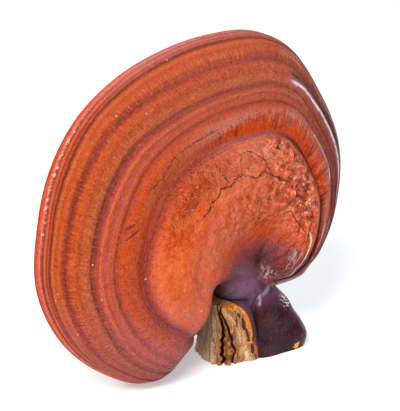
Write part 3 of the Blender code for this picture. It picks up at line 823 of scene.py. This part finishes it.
# Colours of the growth zones, from the funnel out to the rim, then of those in the shade at the right.
INNER_ZONES = [
    (0.00, (132, 58, 70)), (0.10, (150, 58, 62)), (0.17, (176, 62, 34)), (0.24, (194, 80, 46)),
    (0.33, (204, 90, 50)), (0.352, (184, 70, 38)), (0.372, (210, 92, 40)), (0.45, (214, 98, 44)),
    (0.53, (214, 102, 56)), (0.56, (180, 74, 46)),
]
OUTER_ZONES, OUTER_RANGE = [
    (0.560, (172, 62, 34)), (0.575, (128, 44, 40)), (0.590, (158, 56, 32)), (0.612, (182, 70, 32)),
    (0.640, (200, 86, 42)), (0.665, (206, 76, 24)), (0.692, (210, 78, 24)), (0.708, (180, 66, 32)),
    (0.722, (128, 40, 36)), (0.736, (200, 90, 52)), (0.768, (164, 62, 48)), (0.785, (208, 96, 54)),
    (0.800, (150, 52, 40)), (0.817, (98, 38, 36)), (0.830, (180, 86, 46)), (0.850, (184, 86, 38)),
    (0.868, (166, 68, 26)), (0.885, (194, 78, 22)), (0.899, (188, 68, 18)), (0.912, (132, 40, 24)),
    (0.926, (146, 46, 24)), (0.940, (190, 80, 20)), (0.952, (166, 62, 20)), (0.961, (196, 88, 30)),
    (0.970, (84, 22, 18)), (0.980, (190, 74, 28)), (0.991, (134, 40, 26)), (1.002, (206, 88, 46)),
    (1.014, (88, 22, 20)), (1.022, (220, 116, 92)), (1.036, (206, 72, 24)), (1.060, (190, 44, 10)),
], (0.56, 1.08)
SHADED_ZONES, SHADED_RANGE = [
    (0.600, (138, 50, 42)), (0.660, (150, 58, 44)), (0.700, (160, 70, 62)), (0.722, (84, 26, 34)),
    (0.755, (122, 38, 24)), (0.800, (136, 44, 24)), (0.845, (124, 44, 38)), (0.872, (156, 78, 78)),
    (0.890, (78, 24, 28)), (0.908, (42, 8, 14)), (0.930, (84, 18, 14)), (0.960, (100, 26, 16)),
    (0.972, (50, 10, 12)), (1.000, (92, 20, 14)), (1.050, (46, 6, 6)),
], (0.60, 1.06)
PORE_TONES = [(0.35, (196, 158, 116)), (0.65, (226, 198, 158))]
CAP_TONES = {
    "top": (186, 90, 70), "top_rim": (206, 128, 124), "low": (172, 96, 98), "blush": (204, 84, 50),
    "pale_streak": (232, 122, 50), "dark_streak": (112, 32, 20), "dark_band": (126, 38, 22),
    "salmon": (226, 134, 104), "bright": (206, 74, 6), "orange": (222, 94, 26), "ember": (226, 84, 8),
    "pit": (88, 20, 12), "pock_glint": (252, 206, 190), "ember_glint": (250, 196, 176),
    "wine_edge": (172, 80, 72), "wine": (134, 62, 68), "wine_crease": (86, 32, 42), "purple": (118, 78, 98),
    "haze": (208, 122, 102), "flame_foot": (124, 42, 38), "flame": (206, 66, 0),
    "flame_shadow": (98, 26, 20), "flame_tip": (232, 146, 122), "seam_left": (122, 44, 44),
    "seam_top": (152, 92, 106), "valley": (58, 16, 24), "inner_fold": (62, 20, 28),
    "pale_fold": (208, 176, 190), "bead": (246, 206, 200), "dark_speck": (112, 32, 20),
    "pale_speck": (242, 152, 112), "dent": (192, 62, 4), "hammer_mark": (190, 60, 4),
    "crack": (52, 18, 20), "scratch": (92, 32, 30), "fleck": (246, 170, 30), "dust": (236, 200, 186),
    "pore_ring": (150, 102, 66),
}
# Cracks in the crust of the boss: points of direction and share, as drawn, and half widths as shares.
LONG_CRACK, LONG_CRACK_WIDTH = [
    (30, 0.39), (36, 0.387), (42, 0.418), (50, 0.42), (60, 0.39), (70, 0.378), (75, 0.395), (82, 0.397),
    (86, 0.412), (90, 0.431), (95, 0.41), (99, 0.425), (103, 0.442), (109, 0.437), (114, 0.425),
    (118, 0.437), (122, 0.416), (127, 0.42), (133, 0.404), (138, 0.412), (141, 0.437),
], 0.0042
THIN_CRACK, THIN_CRACK_WIDTH = [(106, 0.650), (118, 0.652), (126, 0.657), (134, 0.638), (141, 0.665)], 0.0026
# Short cracks run outward instead: points of share and direction, and a half width as a part of a turn.
SHORT_CRACKS, SHORT_CRACK_WIDTH = [
    [(0.395, 85), (0.43, 86), (0.48, 89), (0.535, 97)], [(0.44, 113), (0.54, 114)], [(0.34, 62), (0.43, 66)],
], 0.0011
# Scratches over the rings: zone and half length, slant in degrees for a share, direction and half width.
SCRATCHES, SCRATCH_MIDDLE = [(0.690, 0.030, 60.0, 153.0, 1.1), (0.674, 0.040, 90.0, 157.0, 1.0)], 0.690
# Yellow flecks in the long crack: direction and share, and how far they spread both ways.
FLECKS, FLECK_SPREADS = [(65.5, 0.378), (52.5, 0.407)], (2.0, 0.012)
# Edges that catch the light, and dark lines behind them: points of direction and zone, half width, strength,
# and the screen colour.
LIT_RIDGES = [
    ([(38, 0.905), (46, 0.912), (51, 0.918), (56, 0.909), (61, 0.908), (65, 0.893), (74, 0.885)],
     0.020, 0.9, (54, 16, 22)),
    ([(32, 0.850), (41, 0.871), (50, 0.876), (57, 0.880), (60, 0.879), (64, 0.866), (68, 0.862), (76, 0.85)],
     0.032, 0.6, (176, 96, 104)),
    ([(32, 0.852), (41, 0.873), (50, 0.878), (57, 0.882), (60, 0.881), (64, 0.868), (68, 0.864), (74, 0.85)],
     0.011, 1.0, (255, 240, 240)),
    ([(42, 0.672), (47, 0.701), (51, 0.703), (59, 0.708), (67, 0.701), (76, 0.695)],
     0.024, 0.7, (190, 108, 100)),
    ([(44, 0.682), (47, 0.704), (51, 0.706), (56, 0.709), (62, 0.704)], 0.010, 0.8, (255, 232, 226)),
    ([(-18, 0.548), (-11, 0.512), (-5, 0.482), (6, 0.440), (15, 0.446), (27, 0.438), (35, 0.40)],
     0.012, 1.0, (255, 238, 242)),
    ([(36, 0.366), (42, 0.336), (50, 0.306), (57, 0.298), (63, 0.300), (68, 0.262)],
     0.006, 0.8, (60, 18, 18)),
    ([(0, 0.34), (10, 0.33), (20, 0.36), (28, 0.35)], 0.010, 0.6, (226, 188, 196)),
    ([(2, 0.27), (12, 0.25), (24, 0.29), (33, 0.27)], 0.010, 0.5, (220, 180, 190)),
]


class Crust(Paint):
    """The cap's paint: the patterns that its coats share, and one method for each group of coats."""

    def __init__(self):
        """The places, marks and patterns, and the zone: the place along with ragged edges."""
        super().__init__("lacquered_crust", CAP_TONES)
        self.spots = self.place()
        turn, self.along = self.parts(self.growth())
        self.direction = turn * 360.0 - 90.0
        self.boss, self.pores = self.mark("boss"), self.mark("pores")
        self.ember, self.wine, self.flames = self.mark("ember"), self.mark("wine"), self.mark("flames")
        self.outer = 1.0 - self.boss
        self.streaks, self.bands = self.grown(900.0, 24.0, 2.0, 0.6), self.grown(240.0, 9.0, 2.0, 0.55)
        self.rings, self.wrinkles = self.grown(9.0, 150.0, 3.0, 0.6), self.grown(46.0, 12.0, 2.0, 0.55, 1.0)
        self.dents = self.grown(150.0, 34.0, 3.0, 0.6, 0.8)
        self.blotch = self.noise(self.spots, 60.0, 3.0, 0.55)
        self.patches = self.noise(self.spots, 190.0, 4.0, 0.62)
        self.mottle = self.noise(self.spots, 330.0, 3.0, 0.6)
        self.speck = self.noise(self.spots, 1000.0, 3.0, 0.65)
        self.hammered = self.cells(self.shaken(self.spots, 300.0, 0.0016), 300.0)
        ragged = (self.streaks - 0.5) * 0.005 * self.outer + (self.rings - 0.5) * 0.004
        self.zone = self.along + ragged + (self.bands - 0.5) * 0.004 * self.outer

    def line(self, across, along, points, half_width):
        """A jagged line drawn through (across, along) points: 1 on it, 0 beside it and past its ends."""
        start, end = points[0][0], points[-1][0]
        way = (across - start) / (end - start)
        beside = (along - self.drawn_line(way, points)).math("ABSOLUTE")
        return beside.fall(half_width * 0.35, half_width) * (way.step(-0.01, 0.06) * way.fall(0.94, 1.01))

    def zones(self):
        """A colour for each zone, greyer at the top with a painted sheen and at the low lobe, painted shade
        at the right, a painted highlight on the top rim, and streaks.
        """
        inner, outer = self.ramp(self.zone, INNER_ZONES), self.ramp(self.zone, OUTER_ZONES, *OUTER_RANGE)
        self.tint = self.mix(inner, outer, self.zone.step(0.559, 0.561))
        # Greyer at the top, partly a painted sheen from the light above.
        self.lay("top", self.mark("top") * 0.42)
        # A painted highlight along the rim at the top.
        self.lay("top_rim", self.mark("top_rim") * (0.2 + self.bands).clip() * 0.55)
        self.lay("low", self.mark("low") * 0.62)
        shaded = self.ramp(self.zone, SHADED_ZONES, *SHADED_RANGE)
        self.lay(shaded, self.mark("shade") * (0.45 + self.blotch).clip())
        self.lay("blush", self.blotch.step(0.50, 0.75) * 0.25)
        streaky = self.mark("streaky")
        self.lay("pale_streak", ((self.streaks - 0.5) * streaky).step(0.0, 0.24) * 0.32)
        self.lay("dark_streak", ((0.5 - self.streaks) * streaky).step(0.0, 0.24) * 0.26)
        self.lay("dark_band", ((0.5 - self.bands) * streaky).step(0.03, 0.24) * 0.20)

    def boss_patches(self):
        """Salmon patches, partly a painted sheen, bright orange and glossy ember patches, with dark pits and
        painted pale glints in the last.
        """
        orange, pocked = self.mark("orange"), self.mark("pocked")
        # Salmon on the boss, partly a painted sheen of the soft light.
        self.lay("salmon", self.mark("salmon") * (1.35 - self.patches).clip() * 0.85)
        bright = (self.boss * 0.30 + orange * 0.8 + self.mark("band") * 0.75).clip()
        self.lay("bright", self.patches.step(0.46, 0.56) * bright)
        self.lay("orange", orange * (1.0 - self.patches).step(0.47, 0.56) * 0.5)
        self.lay("ember", self.ember * (0.50 + self.patches).clip())
        self.lay("pit", self.mottle.step(0.53, 0.57) * (self.ember + pocked + 0.06).clip())
        hollow = 1.0 - self.mottle
        self.lay("pock_glint", hollow.step(0.56, 0.62) * self.speck.step(0.50, 0.58) * pocked)
        self.lay("ember_glint", hollow.step(0.54, 0.59) * self.speck.step(0.46, 0.54) * self.ember)

    def funnel(self):
        """Wine to purple crust round the funnel, with painted shade in its creases."""
        self.lay(self.mix("wine_edge", "wine", self.wine), self.wine.step(0.0, 0.7) * 0.92)
        # Painted shade in the creases of the wine area.
        self.lay("wine_crease", self.wine * (1.0 - self.wrinkles).step(0.50, 0.64) * 0.6)
        self.lay("purple", self.mark("purple") * 0.90)

    def flame_edge(self):
        """The ragged orange edge outside the boss: teeth that reach outward, under a painted pale sheen,
        with painted shade at their foot.
        """
        teeth, licks = self.grown(230.0, 3.0, 3.0, 0.75), self.grown(210.0, 4.0, 3.0, 0.70)
        gaps = self.grown(34.0, 4.0, 2.0, 0.5)
        longer = self.mark("flame_reach")
        reach = self.along + (teeth - 0.5) * 0.24 * (0.20 + longer * 16.0) - longer
        flame = self.along.step(0.578, 0.590) * reach.fall(0.608, 0.613)
        flame = flame * (self.flames * (gaps.step(0.34, 0.44) * 0.6 + 0.4))
        haze = self.flames * self.along.step(0.585, 0.60) * self.along.fall(0.665, 0.70)
        tips = self.flames * (1.0 - licks).step(0.585, 0.63)
        tips = tips * self.along.step(0.60, 0.62) * self.along.fall(0.64, 0.67)
        # A painted pale sheen over the flame edge.
        self.lay("haze", haze * (0.3 + self.blotch).clip() * 0.80)
        # Painted shade at the foot of the flames, next to the seam.
        self.lay("flame_foot", self.along.step(0.566, 0.580) * reach.fall(0.612, 0.622) * self.flames * 0.60)
        self.lay("flame", flame)
        self.lay("flame_shadow", flame * licks.step(0.53, 0.60) * 0.75)
        self.lay("flame_tip", tips * 0.5)

    def seam_and_ridges(self):
        """The seam round the boss, lavender at the top as a painted reflection of the sky, the painted shade
        of the valley under its ledge, and edges that catch the light.
        """
        seam = self.zone.bell(0.579, 0.010) * self.mark("lavender") * (0.35 + self.bands).clip()
        # Wine on the left and lavender at the top; the lavender is partly a painted reflection of the sky.
        self.lay(self.mix("seam_left", "seam_top", self.mark("top").step(0.60, 1.0)), seam * 0.85)
        # Painted shade in the valley under the ledge.
        self.lay("valley", self.mark("valley") * 0.95)
        along = self.along + (self.bands - 0.5) * 0.016 + (self.streaks - 0.5) * 0.008
        for points, half_width, strength, screen in LIT_RIDGES:
            ridge = self.line(self.direction, along, points, half_width) * (0.35 + self.bands * 1.3).clip()
            self.lay(colour(*screen), ridge * strength)

    def folds_and_specks(self):
        """Painted shade and highlights on the folds in the funnel, painted glints on the left rim, specks,
        and painted shade in the dents and hammer marks.
        """
        folds = self.noise(self.stretch(self.spots, 1.0, 1.0, 0.35), 900.0, 2.0, 0.6)
        # Painted shade in the hollow of the funnel, and painted highlights on its folds.
        self.lay("inner_fold", self.mark("inner_fold") * (0.5 + folds).clip())
        self.lay("pale_fold", self.mark("pale_fold") * folds.step(0.47, 0.58))
        glints = self.grown(420.0, 70.0, 2.0, 0.7).step(0.50, 0.62)
        # Painted glints along the left rim.
        self.lay("bead", glints * self.zone.bell(1.020, 0.012) * self.mark("beaded") * 0.7)
        self.lay("dark_speck", (1.0 - self.speck).step(0.50, 0.76) * (0.46 - self.boss * 0.20))
        self.lay("pale_speck", self.speck.step(0.54, 0.78) * (0.24 + self.boss * 0.14))
        # Painted shade in the dents and in the hammer marks.
        self.lay("dent", (1.0 - self.dents).step(0.48, 0.62) * self.mark("dented") * 0.8)
        self.lay("hammer_mark", (1.0 - self.hammered).step(0.52, 0.80) * self.mark("pitted") * 0.7)

    def cracks(self):
        """Jagged cracks with yellow flecks, two scratches and scattered dust. Hands over the cracks."""
        jag = (self.noise(self.spots, 620.0, 3.0, 0.75) - 0.5) * 0.052
        cracks = self.line(self.direction, self.along + jag, LONG_CRACK, LONG_CRACK_WIDTH)
        thin = self.line(self.direction, self.along + jag * 0.7, THIN_CRACK, THIN_CRACK_WIDTH)
        cracks = cracks.math("MAXIMUM", thin * 0.85)
        turn = self.direction / 360.0 + jag * 0.25
        for points in SHORT_CRACKS:
            points = [(share, direction / 360.0) for share, direction in points]
            cracks = cracks.math("MAXIMUM", self.line(self.along, turn, points, SHORT_CRACK_WIDTH))
        self.lay("crack", cracks * 0.85)
        scratched = 0.0
        for zone, half_length, slant, direction, half_width in SCRATCHES:
            beside = (self.direction - (self.zone - SCRATCH_MIDDLE) * slant).bell(direction, half_width)
            scratched = self.zone.bell(zone, half_length) * beside + scratched
        self.lay("scratch", scratched.step(0.15, 0.6) * 0.7)
        for direction, share in FLECKS:
            fleck = (self.direction + jag * 60.0).bell(direction, FLECK_SPREADS[0])
            self.lay("fleck", (fleck * self.along.bell(share, FLECK_SPREADS[1])).step(0.15, 0.5))
        self.lay("dust", self.cells(self.spots, 110.0).fall(0.020, 0.050) * 0.7)
        return cracks

    def pore_side(self):
        """Dull tan with faint rings."""
        dull = self.ramp(self.noise(self.spots, 45.0, 4.0, 0.6), PORE_TONES)
        self.lay(self.mix(dull, "pore_ring", self.rings.step(0.50, 0.75) * 0.4), self.pores)

    def bumps(self, cracks):
        """The fine reliefs of the crust and the pores, one over the other, each with its depth in metres."""
        streaky = self.mark("streaky")
        bumpy = None
        for height, depth in [
            (self.rings * self.outer, 0.0009), (self.streaks * streaky, 0.0006),
            (self.bands * streaky, 0.0006), (self.wrinkles * self.mark("folded"), 0.0050),
            (self.dents * self.mark("dented"), 0.0060),
            (self.hammered * self.mark("pitted"), 0.0046), (self.patches * self.boss, 0.0014),
            (self.mottle, 0.0008), (self.speck * (1.0 - self.pores), 0.0007), (cracks * -1.0, 0.0006),
            (self.cells(self.spots, 2400.0) * self.pores, 0.0003),
        ]:
            bumpy = self.relief(height, depth, bumpy)
        return bumpy


def cap_paint():
    """Ringed, lacquered crust with its boss, funnel, flame edge and cracks, and dull pores behind."""
    crust = Crust()
    crust.zones()
    crust.boss_patches()
    crust.funnel()
    crust.flame_edge()
    crust.seam_and_ridges()
    crust.folds_and_specks()
    cracks = crust.cracks()
    crust.pore_side()
    glossy = (crust.ember + crust.wine * 0.22 + crust.mark("shade") * 0.6).clip()
    return crust.finish({
        "Roughness": 0.46 + (crust.mottle - 0.5) * 0.30 - glossy * 0.18 + crust.pores * 0.4,
        "Normal": crust.bumps(cracks), "Coat Weight": glossy * 0.65 * (1.0 - crust.pores),
        "Coat Roughness": 0.12, "Specular IOR Level": 0.14,
    })


# Soft patches on the face: strength, direction and spread in degrees, share of the reach and spread.
FACE_PATCHES = {
    "ember": [(1.0, 58.0, 24.0, 0.42, 0.13)],
    "salmon": [(1.0, 86.0, 30.0, 0.49, 0.085), (0.6, 118.0, 60.0, 0.29, 0.10)],
    "orange": [
        (1.0, 146.0, 30.0, 0.47, 0.085), (1.0, 92.0, 20.0, 0.18, 0.05), (0.8, 100.0, 30.0, 0.32, 0.05),
    ],
    "pocked": [(1.0, 74.0, 12.0, 0.525, 0.030)],
    "folded": [(1.0, 12.0, 40.0, 0.28, 0.22)],
    "pitted": [(1.0, 64.0, 20.0, 0.41, 0.10), (0.75, 98.0, 36.0, 0.28, 0.11)],
    "dented": [(1.0, 132.0, 20.0, 0.52, 0.05), (0.50, 95.0, 35.0, 0.50, 0.05)],
    "band": [(1.0, 158.0, 34.0, 0.665, 0.040)],
}
# Painted shade and highlights on the folds in the funnel: x and spread, z and spread, in millimetres.
FUNNEL_FOLDS = {"pale_fold": (4.2, 2.2, 33.6, 3.2), "inner_fold": (2.0, 3.4, 39.6, 4.2)}
# Round areas: middle x and z, half width and half height, and where they fade, as shares of those.
WINE_AREA, WINE_FADE, WINE_END = (2.0, 35.0, 21.0, 15.0), (0.45, 1.18), (0.50, 0.56)
PURPLE_AREA, PURPLE_FADE = (-7.0, 29.0, 12.0, 13.0), (0.55, 1.15)
# Stretches in degrees or in shares, each with its rise, its fall or both.
BOSS_SHARES, LOW_FROM = ((0.08, 0.2), (0.52, 0.57)), (164.0, 204.0)
FLAMES, FLAME_REACH = ((12.0, 34.0), (96.0, 132.0)), [(0.052, 52.0, 20.0), (0.040, 84.0, 18.0)]
LAVENDER, LAVENDER_WEAKER = ((62.0, 80.0), (195.0, 215.0)), (0.35, (110.0, 140.0))
# Directions of the painted glints on the left rim.
RIM_GLINTING = ((128.0, 142.0), (156.0, 168.0))
# Directions and zones of the painted highlight on the top of the rim.
RIM_HIGHLIGHT, RIM_HIGHLIGHT_ZONE = ((62.0, 84.0), (112.0, 140.0)), ((0.965, 0.985), (1.06, 1.10))
TOP, TOP_FROM, TOP_ZONE_END = (92.0, 45.0), (0.3, 0.5), (0.93, 0.98)
SHADE_END, SHADE_FROM = (42.0, 86.0), (0.60, 0.66)
RIM_SHADE_END, RIM_SHADE_FROM = (48.0, 80.0), (0.90, 0.95)
# The foot of the ledge, as (direction, share), and the painted shade of the valley along it.
LEDGE_FOOT = [
    (-17, 0.57), (-5, 0.53), (6, 0.51), (16, 0.51), (27, 0.51), (37, 0.53), (43, 0.535), (52, 0.55),
    (60, 0.56), (68, 0.57), (80, 0.575),
]
VALLEY, VALLEY_OUT, VALLEY_WIDTH, VALLEY_END = ((-24.0, -8.0), (62.0, 84.0)), 0.018, 0.030, (0.582, 0.60)
STREAK_LEAST = 0.30
STREAKED = [(1.0, 0.84, 0.035), (1.0, 0.91, 0.03), (0.9, 0.66, 0.06)]
STREAKED_RIGHT, STREAKED_RIGHT_FROM = (55.0, 22.0), (0.68, 0.74)
PORES_FROM = (4.3, 5.2)


def round_area(x, z, area, fade):
    """1 in the middle of a round area and 0 outside it."""
    middle_x, middle_z, wide, tall = area
    return 1.0 - smooth(np.hypot((x - middle_x) / wide, (z - middle_z) / tall), *fade)


def face_marks(a, share, along, x, z):
    """The marks that lie on the lacquered face, from the direction, share, zone and place of each point."""
    marks = {
        mark: sum(strength * spot(a, share, *patch) for strength, *patch in patches)
        for mark, patches in FACE_PATCHES.items()
    }
    for mark, fold in FUNNEL_FOLDS.items():
        marks[mark] = spot(x, z, *fold)
    marks["boss"] = span(share, *BOSS_SHARES)
    marks["low"] = smooth(a, *LOW_FROM)
    marks["wine"] = round_area(x, z, WINE_AREA, WINE_FADE) * (1.0 - smooth(share, *WINE_END))
    marks["top"] = bump(a, *TOP) * smooth(share, *TOP_FROM) * (1.0 - smooth(along, *TOP_ZONE_END))
    marks["flames"] = span(a, *FLAMES)
    marks["flame_reach"] = sum(reach * bump(a, *place) for reach, *place in FLAME_REACH)
    weaker = 1.0 - LAVENDER_WEAKER[0] * smooth(a, *LAVENDER_WEAKER[1])
    marks["lavender"] = span(a, *LAVENDER) * weaker
    in_valley = bump(share, straight(a, LEDGE_FOOT) + VALLEY_OUT, VALLEY_WIDTH)
    marks["valley"] = span(a, *VALLEY) * in_valley * (1.0 - smooth(share, *VALLEY_END))
    streaky = STREAK_LEAST + sum(strength * bump(share, *place) for strength, *place in STREAKED)
    marks["streaky"] = streaky + bump(a, *STREAKED_RIGHT) * smooth(share, *STREAKED_RIGHT_FROM)
    return marks


def rows_of(stretches):
    """Row places, evenly spaced in each stretch of (from, to, how many)."""
    return np.concatenate([np.linspace(*stretch) for stretch in stretches])[:, None]


def cap():
    """The cap's skin from the middle of its face over the rim to the middle of its pore side."""
    turn = np.linspace(-90.0, 270.0, 3601)
    crowd = np.cumsum(around(turn, OUTLINE) + COLUMN_EVENNESS)
    angle = np.interp(np.arange(CAP_COLUMNS) / CAP_COLUMNS * crowd[-1], crowd, turn)[None, :]
    share, rim = rows_of(FACE_ROWS), rows_of(RIM_ROWS)
    front = cap_point(share, 0.0, face_relief(share, angle), angle, True, False)
    knots, (back_shares, insets, heights) = np.arange(len(RIM_AND_PORES)), np.array(RIM_AND_PORES).T
    back_share, inset = curve(rim, knots, back_shares), curve(rim, knots, insets)
    swaying = rim + RIM_GROOVE_SWAY * np.sin(np.radians(RIM_GROOVE_TURNS * angle))
    for place in RIM_GROOVES:
        inset = inset + RIM_GROOVE_DEPTH * bump(swaying, place, RIM_GROOVE_WIDTH)
    on_pores = back_share < 0.999
    back_share = np.minimum(back_share, 1.0)
    back = cap_point(back_share, inset, curve(rim, knots, heights), angle, False, on_pores)
    rings = np.concatenate([front, back])
    x, y, z = rings[..., 0], rings[..., 1], rings[..., 2]
    z -= z.min() * (1.0 - smooth(z, 0.0, SETTLE_HEIGHT))

    face, pores = slice(0, len(front)), slice(len(front) + EDGE_ROWS, None)
    mine, stems = -y[face], skin_side(x[face], z[face], -1)
    y[face] = UNDER_STEM * smooth(stems - mine, *UNDER_FROM) - fillet(mine, stems)
    mine = y[pores].copy()
    stems = np.max([skin_side(x[pores] + step, z[pores], 1) for step in COVER_BESIDE], axis=0)
    covered = fillet(mine, stems) + COVER * smooth(stems - mine, 0.0, 1.0)
    y[pores] = mine + (covered - mine) * smooth(rim[EDGE_ROWS:], *COVER_FROM)

    a = (angle + 90.0) % 360.0 - 90.0
    on_face = np.concatenate([np.ones(len(share)), np.zeros(len(rim))])[:, None]
    all_shares = np.concatenate([share, back_share])
    along = np.concatenate([growth_place(share, angle), 1.0 + RIM_STEP * rim + 0.0 * angle])
    marks = {mark: values * on_face for mark, values in face_marks(a, all_shares, along, x, z).items()}
    shade = (1.0 - smooth(a, *SHADE_END)) * smooth(all_shares, *SHADE_FROM)
    rim_shade = (1.0 - smooth(a, *RIM_SHADE_END)) * smooth(all_shares, *RIM_SHADE_FROM)
    marks["along"], marks["round"] = along, (angle + 90.0) / 360.0
    marks["shade"] = np.maximum(shade, rim_shade)
    # Where the painted highlight lies along the top of the rim.
    marks["top_rim"] = span(a, *RIM_HIGHLIGHT) * span(along, *RIM_HIGHLIGHT_ZONE)
    marks["beaded"] = span(a, *RIM_GLINTING)
    marks["purple"] = round_area(x, z, PURPLE_AREA, PURPLE_FADE)
    marks["pores"] = smooth(np.concatenate([0.0 * share, rim]), *PORES_FROM)
    marks = {mark: values + 0.0 * along for mark, values in marks.items()}
    return skin("cap_lacquered", rings, rings[0].mean(axis=0), rings[-1].mean(axis=0), marks, cap_paint())


bracket = cap()
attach(bracket, "root")
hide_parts("cap")

# Floor, light and camera.
# A wide white floor, a soft sky, one large soft light from the upper left front, a weak one from the right
# for the glints, and one high over the back of the floor. The camera stands where the photograph was
# taken from, at the front left and a little above.

SHOT_FROM, SHOT_RAISED, SHOT_DISTANCE = -35.0, 19.0, 0.675
SHOT_AT = (-0.0225, -0.004, 0.066)
LENS, SENSOR = 150.0, 36.0
FLOOR_HALF = 3.0
FLOOR_WHITE, FLOOR_GLOW, FLOOR_GLOW_STRENGTH = (0.64, 0.65, 0.67, 1.0), (0.95, 0.97, 1.0, 1.0), 0.42
SKY, SKY_STRENGTH = (0.93, 0.96, 1.0, 1.0), 0.32
# Each light: place, what it is turned to, side in metres, watts and tint.
LIGHTS = {
    "key": ((-0.66, -0.52, 0.82), SHOT_AT, 0.45, 16.5, (1.0, 0.97, 0.94)),
    "glint": ((1.05, 0.05, 0.50), SHOT_AT, 0.30, 2.6, (1.0, 0.99, 0.98)),
    "sweep": ((0.0, 1.2, 1.6), (0.0, 0.8, 0.0), 2.4, 22.0, (0.97, 0.98, 1.0)),
}


def floor():
    """A level square of white, far wider than the view."""
    corners = [(FLOOR_HALF * x, FLOOR_HALF * y, 0.0) for x, y in ((-1, -1), (1, -1), (1, 1), (-1, 1))]
    mesh = bpy.data.meshes.new("floor")
    mesh.from_pydata(corners, [], [(0, 1, 2, 3)])
    paint = Paint("floor_white")
    paint.tint = FLOOR_WHITE
    glow = {"Emission Color": FLOOR_GLOW, "Emission Strength": FLOOR_GLOW_STRENGTH}
    mesh.materials.append(paint.finish({"Roughness": 0.8, **glow}))
    ground = bpy.data.objects.new("floor", mesh)
    bpy.context.scene.collection.objects.link(ground)
    return ground


def soft_light(name, place, aim, size, power, tint):
    """A square area light turned to a point."""
    lamp = bpy.data.lights.new(name, "AREA")
    lamp.shape = "SQUARE"
    lamp.size = size
    lamp.energy = power
    lamp.color = tint
    light = bpy.data.objects.new(name, lamp)
    light.location = place
    light.rotation_euler = (Vector(aim) - Vector(place)).to_track_quat("-Z", "Y").to_euler()
    bpy.context.scene.collection.objects.link(light)


floor()
for name, light in LIGHTS.items():
    soft_light(name, *light)

world = bpy.data.worlds.new("soft_sky")
bpy.context.scene.world = world
world.use_nodes = True
world.node_tree.nodes["Background"].inputs["Color"].default_value = SKY
world.node_tree.nodes["Background"].inputs["Strength"].default_value = SKY_STRENGTH
bpy.context.scene.view_settings.view_transform = "Standard"

turn, raised = np.radians(SHOT_FROM), np.radians(SHOT_RAISED)
back_way = Vector((np.sin(turn) * np.cos(raised), -np.cos(turn) * np.cos(raised), np.sin(raised)))
lens = bpy.data.cameras.new("camera")
lens.lens, lens.sensor_width = LENS, SENSOR
camera = bpy.data.objects.new("camera", lens)
camera.location = Vector(SHOT_AT) + back_way * SHOT_DISTANCE
camera.rotation_euler = (-back_way).to_track_quat("-Z", "Y").to_euler()
bpy.context.scene.collection.objects.link(camera)
bpy.context.scene.camera = camera
